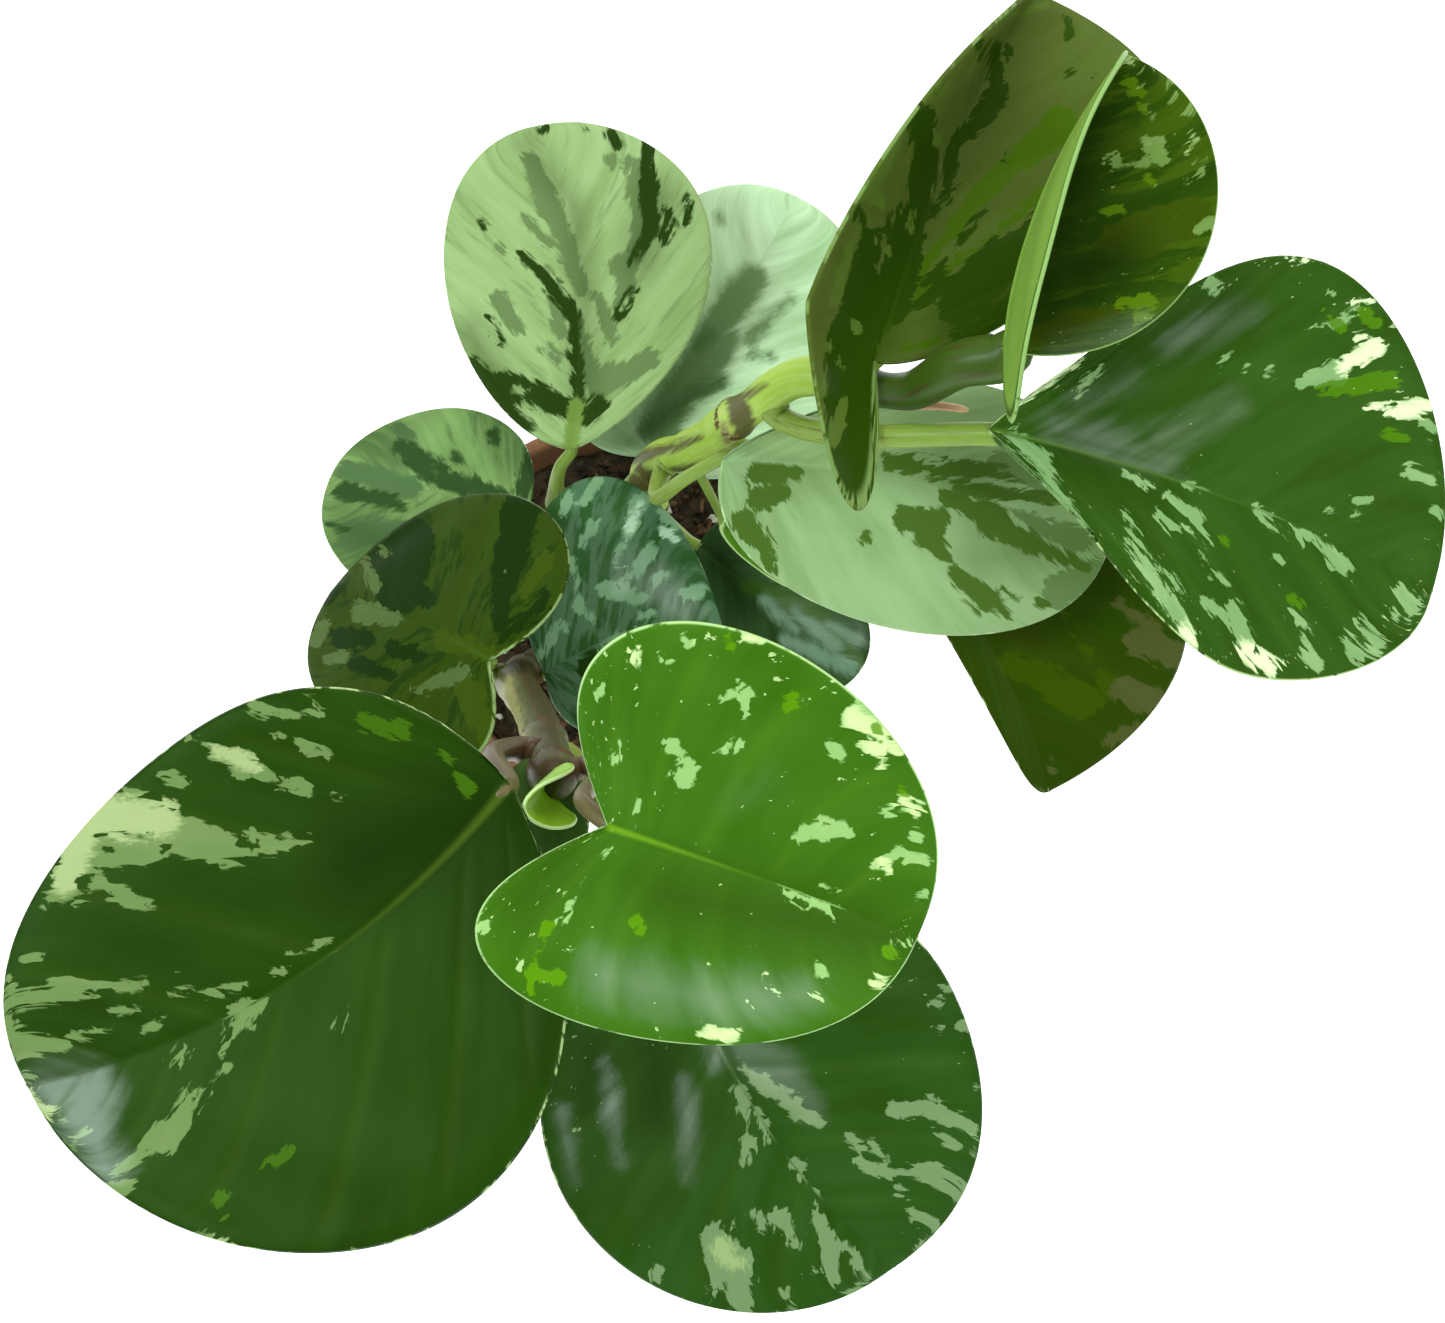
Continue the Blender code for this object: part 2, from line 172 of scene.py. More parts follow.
def newMaterial(name, constants):
    material = bpy.data.materials.new(name)
    material.use_nodes = True
    shader = material.node_tree.nodes["Principled BSDF"]
    for socket, value in constants.items():
        shader.inputs[socket].default_value = value
    return material, material.node_tree, shader


def plug(tree, wire, shader, socket):
    tree.links.new(wire.socket, shader.inputs[socket])


# Angles at even steps round a ring.
def turnAngles(sides):
    return np.linspace(0, 2 * np.pi, sides, endpoint=False)


# The numbers of a grid's points, row by row, and of the next point round each row.
def ringNumbers(rows, columns):
    here = np.arange(rows * columns).reshape(rows, columns)
    return here, np.roll(here, -1, axis=1)


# A grid of points (rows, columns, 3) in mm becomes a mesh. Each row closes on itself, and each end closes
# on its own point. fields are numbers or places per point, kept as attributes for the material.
def closedGrid(name, grid, firstEnd, lastEnd, fields=None):
    rows, columns = grid.shape[:2]
    points = np.concatenate([grid.reshape(-1, 3), [firstEnd, lastEnd]])
    here, after = ringNumbers(rows, columns)
    sides = np.stack([here[:-1], after[:-1], after[1:], here[1:]], -1).reshape(-1, 4)
    first = np.full(columns, rows * columns)
    firstFan = np.stack([first, after[0], here[0]], -1)
    lastFan = np.stack([first + 1, here[-1], after[-1]], -1)
    faces = sides.tolist() + firstFan.tolist() + lastFan.tolist()
    mesh = bpy.data.meshes.new(name)
    mesh.from_pydata((points * mm).tolist(), [], faces)
    for field, values in (fields or {}).items():
        values = np.asarray(values, float)
        wide = values.shape[-1] if values.ndim == 3 else 1
        flat = values.reshape(rows * columns, wide)
        flat = np.concatenate([flat, flat[:columns].mean(0)[None], flat[-columns:].mean(0)[None]])
        kind = "FLOAT_VECTOR" if wide == 3 else "FLOAT"
        layer = mesh.attributes.new(field, kind, "POINT")
        layer.data.foreach_set("vector" if wide == 3 else "value", flat.ravel())
    mesh.shade_smooth()
    return mesh


def newPiece(name, mesh, material, nodes):
    piece = linked(name, mesh)
    mesh.materials.append(material)
    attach(piece, "root")
    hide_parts(*nodes)
    return piece


# A few long sine waves in mixed directions make a smooth, uneven field of about -1 to 1.
def unevenness(points, length, seed, count=9):
    draw = np.random.default_rng(seed)
    total = np.zeros(points.shape[:-1])
    for _ in range(count):
        direction = draw.normal(size=points.shape[-1])
        direction *= 2 * np.pi / (length * draw.uniform(0.6, 1.7) * np.linalg.norm(direction))
        total += np.sin(points @ direction + draw.uniform(0, 2 * np.pi))
    return total / np.sqrt(count)


# A strip that starts at one angle and turns evenly: how far it has run sideways, and how high. Both are the
# integral of the angle's cosine and sine along the strip, so an almost straight strip is given a tiny turn.
def turning(distance, start, turnPerMm):
    tiny = 1e-5
    turnPerMm = np.where(np.abs(turnPerMm) < tiny, tiny, turnPerMm)
    end = start + turnPerMm * distance
    return (np.sin(end) - np.sin(start)) / turnPerMm, (np.cos(start) - np.cos(end)) / turnPerMm


# The middle sheet of a blade. around goes from 0 at the base to pi at the tip, across from -1 to 1 at the
# left margin. The outline is an ellipse whose widest place, lobes and taper are moved, and a point inside it
# takes its share of the margin's move by a power of across, the fullness. Each half lifts from the midrib by
# its fold, softened over the crease, and the whole bows and sways along its length.
def bladeSheet(leaf, around, across):
    left = across > 0

    def side(name, usual=None):
        return np.where(left, leaf.get(name + "Left", usual), leaf.get(name + "Right", usual)).astype(float)

    length = leaf["length"]
    along = (1 - np.cos(around)) / 2
    bulge = np.sin(around)
    nearBase = (1 + np.cos(around)) / 2
    half = side("half")
    lobe = side("lobe") * np.clip(bulge, 0, 1) ** side("blunt", 1.0) * nearBase
    margin = along + (side("widest", leaf.get("widest")) - 0.5) * bulge ** 2 - lobe
    spread = bulge * (1 - side("taper", leaf.get("taper")) * nearBase ** 2)
    x = (along + (margin - along) * np.abs(across) ** side("fullness", 2.0)) * length
    tipFold = side("fold")
    baseFold = side("baseFold", tipFold)
    start = np.radians(baseFold + (tipFold - baseFold) * along)
    distance = spread * np.abs(across) * half
    run, height = turning(distance, start, np.radians(side("curl", 0.0)) / half)
    soft = leaf.get("crease", 1.6)
    height -= np.sin(start) * (distance - np.sqrt(distance ** 2 + soft ** 2) + soft)
    bow = np.radians(leaf["droop"]) / length
    forward = np.maximum(x, 0.0)
    reach, lift = turning(forward, 0.0, bow)
    reach = reach + np.minimum(x, 0.0)
    lean = bow * forward
    q = x / length
    sway = length * (4 * leaf["bend"] * q * (1 - q) + leaf.get("hook", 0.0) * np.minimum(q, 0.0))
    run = np.where(left, run, -run)
    return np.stack([reach - np.sin(lean) * height, sway + run, lift + np.cos(lean) * height], -1)


def leafAxes(leaf):
    heading, rise, roll = np.radians([leaf["heading"], leaf["rise"], leaf["roll"]])
    forward = np.array([np.cos(rise) * np.cos(heading), np.cos(rise) * np.sin(heading), np.sin(rise)])
    level = np.array([-np.sin(heading), np.cos(heading), 0.0])
    top = np.cross(forward, level)
    leftward = level * np.cos(roll) + top * np.sin(roll)
    upward = top * np.cos(roll) - level * np.sin(roll)
    return forward, leftward, upward


def placed(leaf, points):
    return np.array(leaf["base"]) + points @ np.array(leafAxes(leaf))


# How deep a point of the photograph lies inside the nearest stroke, in mm, and how far outside as a negative.
# A stroke with negative widths is a hole in the ones before it.
def insideStrokes(strokes, x, y, mmPerPixel):
    farOutside = -60.0
    most = 8                # mm, the most that a depth counts
    deepest = np.full(x.shape, farOutside)
    for x0, y0, x1, y1, wide0, wide1 in strokes:
        length = np.hypot(x1 - x0, y1 - y0) + 1e-6
        share = np.clip(((x - x0) * (x1 - x0) + (y - y0) * (y1 - y0)) / length ** 2, 0, 1)
        away = np.hypot(x - x0 - share * (x1 - x0), y - y0 - share * (y1 - y0))
        if wide0 < 0:
            deepest = np.minimum(deepest, wide0 + (wide1 - wide0) * share + away)
        else:
            deepest = np.maximum(deepest, wide0 + (wide1 - wide0) * share - away)
    return np.clip(deepest * mmPerPixel, -most, most)


blades = {
    "steps": {"near": 150, "far": 88},          # rows from base to tip
    "halfSteps": {"near": 54, "far": 30},       # columns from midrib to margin, closer together at both
    "closer": 0.085,
    "thick": 0.9,
    "thickShares": (0.55, 0.45),        # the part kept by every leaf, and the part that grows with its length
    "fullLength": 40,
    "rimRound": 0.55,
    "lip": 0.35,            # how far the margin turns down, over how many mm
    "lipWide": 3.0,
    "ribGroove": 0.28,      # depth of the midrib's groove above and height of its ridge below
    "grooveWide": 0.9,
    "ribRidge": 0.5,
    "ridgeWide": 1.3,
    "veinDent": 0.1,
    "veinWide": 0.09,       # as a share of the space between veins
    "veinSlant": 0.85,      # how far veins run towards the tip on their way out
    "veinShift": 0.4,       # how far the right half's veins are out of step with the left half's
    "veinsPerSide": 7,
    "uneven": 0.45,
    "unevenLength": 0.45,   # length of the margin's waves over the leaf's
    "grainAcross": 0.7,     # stretch of the marbling's noise across the veins
    "grainShift": 90,       # keeps the two halves' noise apart, and a seed keeps the leaves' apart
    "grainSeed": 7.3}
# The second kind of stroke is painted shade, not marbling: it darkens a leaf where shade falls on it.
strokeKinds = ("mid", "paintedShade", "deep", "pale", "cream", "lime", "sheen")


# The way from just before to just after each point of the blade, along one of its two directions.
def bladeWay(leaf, before, after):
    return placed(leaf, bladeSheet(leaf, *after)) - placed(leaf, bladeSheet(leaf, *before))


# The blade as a closed skin: columns run over the top from the right margin to the left one and back below.
# The sheet's points are moved along its normal, by waves and veins on both sides alike and by the thickness,
# groove and ridge on each.
def makeBlade(leaf):
    steps = blades["steps"][leaf["detail"]]
    halfSteps = blades["halfSteps"][leaf["detail"]]
    even = np.linspace(0, 1, halfSteps + 1)
    close = even - blades["closer"] * np.sin(2 * np.pi * even)
    top = np.concatenate([-close[::-1], close[1:]])
    across = np.concatenate([top, top[-2:0:-1]])
    upper = np.concatenate([np.ones(len(top)), np.zeros(len(top) - 2)])
    ends = 0.5 * np.pi / steps
    around = np.linspace(ends, np.pi - ends, steps)
    around, across = np.meshgrid(around, across, indexing="ij")
    upper = np.broadcast_to(upper, around.shape)
    half = np.where(across > 0, leaf["halfLeft"], leaf["halfRight"])
    along = (1 - np.cos(around)) / 2
    out = np.abs(across) * np.sin(around)
    rib = out * half
    rho = np.sqrt(np.cos(around) ** 2 + (across * np.sin(around)) ** 2)
    rim = (1 - rho) * half

    sheet = placed(leaf, bladeSheet(leaf, around, across))
    little = 0.004
    step = 0.02
    alongWay = bladeWay(leaf, (around - little, across), (around + little, across))
    inward, outward = np.clip(across - step, -1, 1), np.clip(across + step, -1, 1)
    acrossWay = bladeWay(leaf, (around, inward), (around, outward))
    normal = np.cross(alongWay, acrossWay)
    normal /= np.linalg.norm(normal, axis=-1, keepdims=True) + 1e-9

    vein = around - blades["veinSlant"] * np.abs(across)
    shift = np.where(across > 0, 0.0, blades["veinShift"])
    beat = np.abs((vein / np.pi * blades["veinsPerSide"] + shift) % 1 - 0.5)
    veinEnds = np.clip(out / 0.1, 0, 1) * np.clip((1 - rho) / 0.15, 0, 1)
    veinLine = np.exp(-(beat / blades["veinWide"]) ** 2) * veinEnds
    fade = np.clip(1.15 - along, 0.1, 1)        # the midrib grows finer towards the tip
    seed = leaf["seed"]
    flat = np.stack([along * leaf["length"], across * half], -1)
    swell = unevenness(flat, leaf["length"] * blades["unevenLength"], seed)
    lift = blades["uneven"] * leaf.get("wavy", 1.0) * swell * np.clip(out * 1.3, 0, 1)
    lift -= blades["veinDent"] * veinLine
    lift -= leaf.get("lip", blades["lip"]) * np.clip(1 - rim / blades["lipWide"], 0, 1) ** 2
    size = min(1.0, leaf["length"] / blades["fullLength"])
    own, grown = blades["thickShares"]
    rounded = np.sqrt(np.clip(1 - (1 - np.clip(rim / blades["rimRound"], 0, 1)) ** 2, 0, 1))
    thick = blades["thick"] * (own + grown * size) / 2 * rounded
    groove = blades["ribGroove"] * np.exp(-(rib / blades["grooveWide"]) ** 2) * fade * size
    ridge = blades["ribRidge"] * np.exp(-(rib / blades["ridgeWide"]) ** 2) * fade * size
    offset = np.where(upper > 0.5, thick - groove * rounded, -thick - ridge * rounded)
    edge = np.abs(np.abs(across) - 1) < 1e-9
    offset = np.where(edge, 0.0, offset)
    skin = sheet + normal * (lift + offset)[..., None]

    x, y, mmPerPixel = inPhoto(sheet)
    grainAcross = out * half * blades["grainAcross"] + blades["grainShift"] * (across > 0)
    grainSeed = np.full(around.shape, seed * blades["grainSeed"])
    fields = {
        "rib": rib,
        "rim": rim,
        "upper": upper,
        "along": along,
        "veinPlace": np.stack([vein / np.pi * leaf["length"], grainAcross, grainSeed], -1),
        "veinLine": veinLine}
    for name in strokeKinds:
        fields[name] = insideStrokes(leaf.get(name, ()), x, y, mmPerPixel)
    base = placed(leaf, bladeSheet(leaf, np.array([0.0]), np.array([0.0])))[0]
    tip = placed(leaf, bladeSheet(leaf, np.array([np.pi]), np.array([0.0])))[0]
    return closedGrid(leaf["name"], skin, base, tip, fields)


greens = {
    "ground": (0.0105, 0.041, 0.0008),
    "groundAlt": (0.015, 0.054, 0.003),
    "mid": (0.03, 0.075, 0.01),
    "deep": (0.006, 0.022, 0.0005),
    "grey": (0.145, 0.25, 0.078),
    "cream": (0.4, 0.5, 0.22),
    "lime": (0.1, 0.27, 0.004),
    "ribColour": (0.06, 0.12, 0.012),
    "rimColour": (0.4, 0.55, 0.22),
    "under": (0.2, 0.34, 0.12),
    "ragged": 3.4,          # how far noise moves a patch's edge
    "soft": 0.2,            # mm over which a patch fades out
    "flecks": 0.0,          # more small pale flecks as it goes up
    "streaks": 0.0,         # more faint streaks along the veins
    "streakShare": 0.7,
    "rimShare": 0.1,        # how much of the margin is pale
    "ribShare": 0.5,
    "ribWide": 1.1,
    "ribFade": 0.85,        # how far the midrib's colour fades towards the tip
    "underShare": 0.5,
    # how far the painted shade darkens a leaf towards the deep green
    "paintedShadeShare": 1.0,
    "sheenSpread": 4.0}     # mm over which a gloss patch fades out
marbling = {
    # stretch towards the tip, outwards and between leaves, scale, detail and roughness of each noise
    "noises": {
        "broad": ((1.0, 0.8, 1.0), 0.13, 2, 0.5),
        "wander": ((1.0, 1.0, 1.0), 0.32, 2, 0.5),
        "fray": ((1.0, 0.75, 1.0), 0.85, 2, 0.55),
        "fine": ((1.0, 1.0, 1.0), 2.2, 2, 0.5),
        "flowing": ((1.0, 0.22, 1.0), 0.3, 3, 0.6),
        "streak": ((1.0, 0.22, 1.0), 0.5, 4, 0.62),
        "dots": ((1.0, 0.7, 1.0), 0.95, 3, 0.7)},
    "cellBend": ((0.7, 2, 0.5), (1.1, 1.1, 0)),         # the noise that bends the cells, and by how many mm
    "cells": {"angular": (0.8, 0.5, 1.0), "stepped": (1.9, 1.3, 1.0)},
    # what each adds to the raggedness of a patch's edge
    "edge": {"broad": 0.3, "wander": 0.7, "fray": 0.38, "angular": 0.4, "stepped": 0.2, "fine": 0.12},
    "edgeShift": 0.05,
    # stroke depths over which the painted shade fades in
    "paintedShadeFade": (-7.0, 7.5),
    "creamFade": (-0.9, 0.9),
    "dotsFrom": 0.745,      # the noise's value over which a fleck shows
    "dotsFade": (0.0, 0.018),
    "dotsMargin": 14.0,     # mm from the margin over which flecks grow rarer
    "rimFade": (0.1, 0.32),
    "rimBreaks": (0.2, 0.4),
    "underFade": (0.2, 0.8),
    "gloss": 0.02,          # coat outside the gloss patches
    "fineGrain": 1400.0,
    "coarseGrain": 420.0}


# Marbling in layers: the ground green, faint streaks along the veins, darker and paler patches, painted shade
# where shade falls on the leaf, lime flecks, the midrib's line and a pale margin. A patch is its strokes'
# depth plus noise, cut off softly at 0, so that noise along the veins frays every edge.
def leafMaterial(leaf):
    look = {**greens, **leaf["look"]}
    material, tree, shader = newMaterial(leaf["name"], {
        "Specular IOR Level": 0.08, "Specular Tint": (0.5, 0.9, 0.2, 1.0), "Roughness": 0.42,
        "Coat Roughness": 0.34, "Coat IOR": 1.5})
    place = attribute(tree, "veinPlace", "Vector")
    rim = attribute(tree, "rim")
    along = attribute(tree, "along")

    def mottle(name):
        stretch, *kind = marbling["noises"][name]
        return noise(stretched(place, stretch), *kind)

    mixed = {name: mottle(name) - 0.5 for name in ("broad", "wander", "fray", "fine")}
    bendNoise, bendReach = marbling["cellBend"]
    bent = moved(place, stretched(noise(place, *bendNoise, "Color"), bendReach))
    for name, stretch in marbling["cells"].items():
        mixed[name] = cells(stretched(bent, stretch)) - 0.5
    broad, fray, fine = mixed["broad"], mixed["fray"], mixed["fine"]
    edge = sum(mixed[name] * share for name, share in marbling["edge"].items())
    edge = edge * look["ragged"] + marbling["edgeShift"]
    soft = look["soft"]

    def patch(name, share=1.0):
        return (attribute(tree, name) + edge * share).rise(-soft, soft)

    flowing = mottle("flowing") - 0.5
    ground = (broad * 1.6 + flowing * 1.8 + 0.5).tint(look["ground"], look["groundAlt"])
    if look["streaks"] > 0:
        streak = mottle("streak") + broad * 0.25 + look["streaks"] * 0.2
        streak = streak.rise(0.66 - soft * 0.1, 0.68 + soft * 0.1)
        ground = (streak * look["streakShare"]).tint(ground, look["streakColour"])
    ground = (attribute(tree, "veinLine") * 0.08).tint(ground, look["ribColour"])
    colour = patch("mid").tint(ground, look["mid"])
    # Painted shade: a soft darkening towards the deep green where the leaf lies in shade, under folds,
    # creases and other leaves.
    paintedShade = (attribute(tree, "paintedShade") + broad * 3.0).rise(*marbling["paintedShadeFade"])
    colour = (paintedShade * look["paintedShadeShare"]).tint(colour, look["deep"])
    colour = patch("deep").tint(colour, look["deep"])

    paleMask = (attribute(tree, "pale").most(attribute(tree, "cream")) + edge).rise(-soft, soft)
    creamMask = (attribute(tree, "cream") + edge * 0.8 + fine * 2).rise(*marbling["creamFade"])
    paleColour = (creamMask + broad * 0.5 + flowing * 0.3).tint(look["grey"], look["cream"])
    colour = paleMask.tint(colour, paleColour)
    colour = (patch("lime", 0.7) * 0.9).tint(colour, look["lime"])
    if look["flecks"] > 0:
        rimwards = 1 - rim.rise(0.0, marbling["dotsMargin"])
        dots = mottle("dots") - marbling["dotsFrom"] + look["flecks"] * 0.05
        dots = (dots + rimwards * 0.06).rise(*marbling["dotsFade"])
        colour = (dots * 0.9).tint(colour, (broad + 0.5).tint(look["grey"], look["cream"]))

    ribLine = 1 - (attribute(tree, "rib") + along * 1.5).rise(0.1, look["ribWide"])
    ribLine = ribLine * (1 - along * look["ribFade"]) * look["ribShare"]
    colour = ribLine.tint(colour, look["ribColour"])
    rimLine = 1 - rim.rise(*marbling["rimFade"])
    broken = (fray * 1.6 + broad * 1.5 + look["rimShare"]).rise(*marbling["rimBreaks"])
    colour = (rimLine * broken).tint(colour, look["rimColour"])
    under = (1 - attribute(tree, "upper")) * rim.rise(*marbling["underFade"])
    colour = (under * look["underShare"]).tint(colour, look["under"])
    plug(tree, colour, shader, "Base Color")
    spread = look["sheenSpread"]
    sheen = (attribute(tree, "sheen") + flowing * spread * 2.3 + fine * 1.5).rise(-0.9 * spread, spread * 1.1)
    plug(tree, sheen + marbling["gloss"], shader, "Coat Weight")
    body = objectPlace(tree)
    grain = noise(body, marbling["fineGrain"], 2, 0.5) * 0.5 + noise(body, marbling["coarseGrain"], 2, 0.5)
    plug(tree, bumpOf(grain, 0.00005, 0.6), shader, "Normal")
    return material


# How far along a path each of its points lies.
def runAlong(path):
    return np.concatenate([[0], np.cumsum(np.linalg.norm(np.diff(path, axis=0), axis=1))])


# A tube whose rings follow a path of points in mm, with a radius for each. Each ring turns on from the last.
def makeTube(name, path, radius, sides, fields=None, strokes=None):
    path = np.asarray(path, float)
    ways = np.gradient(path, axis=0)
    ways /= np.linalg.norm(ways, axis=1, keepdims=True)
    normals = np.zeros_like(path)
    normal = np.cross(ways[0], [0.3, 0.9, 0.1])
    for place, way in enumerate(ways):
        normal = normal - way * (normal @ way)
        normal = normal / np.linalg.norm(normal)
        normals[place] = normal
    others = np.cross(ways, normals)
    angle = turnAngles(sides)
    circle = np.cos(angle)[None, :, None] * normals[:, None] + np.sin(angle)[None, :, None] * others[:, None]
    wide = np.asarray(radius)[:, None] * np.ones(sides)
    grid = path[:, None] + circle * wide[..., None]
    grainRound = 4          # mm, the same for every tube
    kept = {"tubePlace": np.stack(np.broadcast_arrays(
        runAlong(path)[:, None], np.cos(angle)[None] * grainRound, np.sin(angle)[None] * grainRound), -1)}
    for field, values in (fields or {}).items():
        kept[field] = np.broadcast_to(np.asarray(values)[:, None], wide.shape)
    for field, drawn in (strokes or {}).items():
        kept[field] = insideStrokes(drawn, *inPhoto(grid))
    first = path[0] - ways[0] * radius[0] * 0.3
    last = path[-1] + ways[-1] * radius[-1] * 0.6
    return closedGrid(name, grid, first, last, kept)


# The cubic curve through points that passes each one in the direction from the point before it to the point
# after it, with the same number of places between each two.
def smoothPath(points, between):
    knots = np.array(points, float)
    before = np.concatenate([knots[:1], knots[:-2]])
    after = np.concatenate([knots[2:], knots[-1:]])
    share = (np.arange(between) / between)[None, :, None]
    a, b, c, d = before[:, None], knots[:-1, None], knots[1:, None], after[:, None]
    curve = 0.5 * (2 * b + (c - a) * share + (2 * a - 5 * b + 4 * c - d) * share ** 2
                   + (3 * b - a - 3 * c + d) * share ** 3)
    return np.concatenate([curve.reshape(-1, 3), knots[-1:]])


# Places at even steps along a path.
def evenPath(path, step):
    run = runAlong(path)
    places = np.linspace(0, run[-1], max(int(run[-1] / step), 4))
    return np.stack([np.interp(places, run, path[:, axis]) for axis in range(3)], -1), places


stems = {
    "stem_front": {
        "path": [(-2, -3, 72), (-7, -11, 98), (-15, -25, 118), (-20, -37, 138), (-18.5, -45, 155),
                 (-10.5, -63, 190), (-2, -87, 241), (1, -96, 257)],
        "foot": 4.4, "end": 3.4, "seed": 3},
    "stem_right": {
        "path": [(8, 4, 72), (8, 8, 115), (8, 10, 142), (12.5, 7, 159), (18.6, 0.5, 175.5),
                 (30, -9, 210), (40, -9, 223), (52, -14, 228)],
        "foot": 4.8, "end": 3.4, "seed": 5},
    "stem_back": {
        "path": [(-10, 9, 72), (-11, 9.5, 100), (-13, 11, 120), (-14, 12, 129)],
        "foot": 4.2, "end": 3.6, "seed": 8}}


# The stem's path, the number of its point nearest to this one, and the stem's radius there.
def nearestOnStem(stemName, point):
    stem = stems[stemName]
    path, run = evenPath(smoothPath(stem["path"], 8), 0.5)
    nearest = np.linalg.norm(path - point, axis=1).argmin()
    share = run[nearest] / run[-1]
    return path, nearest, stem["foot"] + (stem["end"] - stem["foot"]) * share


stalks = {
    "radii": (2.1, 1.25),               # at the stem and at the blade
    "smallRadii": (1.2, 0.8),
    "smallLength": 30,                  # a leaf shorter than this has a small stalk
    "sides": 20,
    "step": 0.8,
    "flare": 0.35,                      # how much wider a stalk is at its stem, over how many mm
    "flareReach": 2.5,
    "below": 0.45,                      # from the stalk's skin up to the middle of the blade
    "ending": (0.95, 0.85, 0.65, 0.4)}  # the last radii, which round off its end


# A stalk springs from inside its stem's skin, follows its points, and runs on under the blade as the midrib.
def stalkPath(leaf):
    points = [np.array(point, float) for point in leaf["stalk"]]
    path, nearest, radius = nearestOnStem(leaf["stem"], points[0])
    if leaf.get("atEnd"):
        start = path[-1] - (path[-1] - path[-8]) / 4
        points = [start, path[-1] + (path[-1] - path[-4]) * 1.2] + points
    else:
        outward = (points[0] - path[nearest]) / np.linalg.norm(points[0] - path[nearest])
        points = [path[nearest] + outward * radius * 0.6, path[nearest] + outward * (radius + 2)] + points[1:]
    forward, leftward, upward = leafAxes(leaf)
    base = np.array(leaf["base"], float)
    below = leaf.get("stalkEnd", stalks["radii"][1]) + stalks["below"]
    points += [base - upward * below + forward * 0.3, base - upward * below * 0.9 + forward * 4.5]
    return smoothPath(points, 8)


def makeStalk(leaf, material):
    path, run = evenPath(stalkPath(leaf), stalks["step"])
    thick, thin = stalks["smallRadii" if leaf["length"] < stalks["smallLength"] else "radii"]
    thick = leaf.get("stalkRadius", thick)
    thin = leaf.get("stalkEnd", thin)
    share = run / run[-1]
    radius = thick + (thin - thick) * share ** 0.7
    radius = radius + thick * stalks["flare"] * np.exp(-(run / stalks["flareReach"]) ** 2)
    radius[-4:] *= np.array(stalks["ending"])
    mesh = makeTube(leaf["name"] + "_stalk", path, radius, stalks["sides"], {"share": share})
    newPiece(leaf["name"] + "_stalk", mesh, material, [leaf["name"]])


def stalkMaterial(name, low, high, flush):
    material, tree, shader = newMaterial(name, {"Roughness": 0.4, "Specular IOR Level": 0.2,
                                                "Coat Weight": 0.06, "Coat Roughness": 0.25})
    place = attribute(tree, "tubePlace", "Vector")
    share = attribute(tree, "share")
    streak = noise(stretched(place, (0.12, 1.0, 1.0)), 1.1, 4, 0.6)
    colour = share.tint(low, high)
    colour = (streak.rise(0.5, 0.68) * (1 - share * 0.75)).tint(colour, flush)
    plug(tree, colour, shader, "Base Color")
    plug(tree, bumpOf(streak, 0.00012, 0.5), shader, "Normal")
    return material


greenStalk = stalkMaterial("stalk_green", (0.2, 0.28, 0.045), (0.18, 0.28, 0.04), (0.11, 0.1, 0.025))
darkStalk = stalkMaterial("stalk_dark", (0.035, 0.07, 0.005), (0.05, 0.1, 0.008), (0.06, 0.03, 0.015))
brownStalk = stalkMaterial("stalk_brown", (0.09, 0.05, 0.02), (0.12, 0.1, 0.035), (0.05, 0.025, 0.015))


def makeLeaf(leaf):
    newPiece(leaf["name"] + "_blade", makeBlade(leaf), leafMaterial(leaf), [leaf["name"]])
    makeStalk(leaf, leaf.get("stalkMaterial", greenStalk))
    print("leaf made:", leaf["name"])


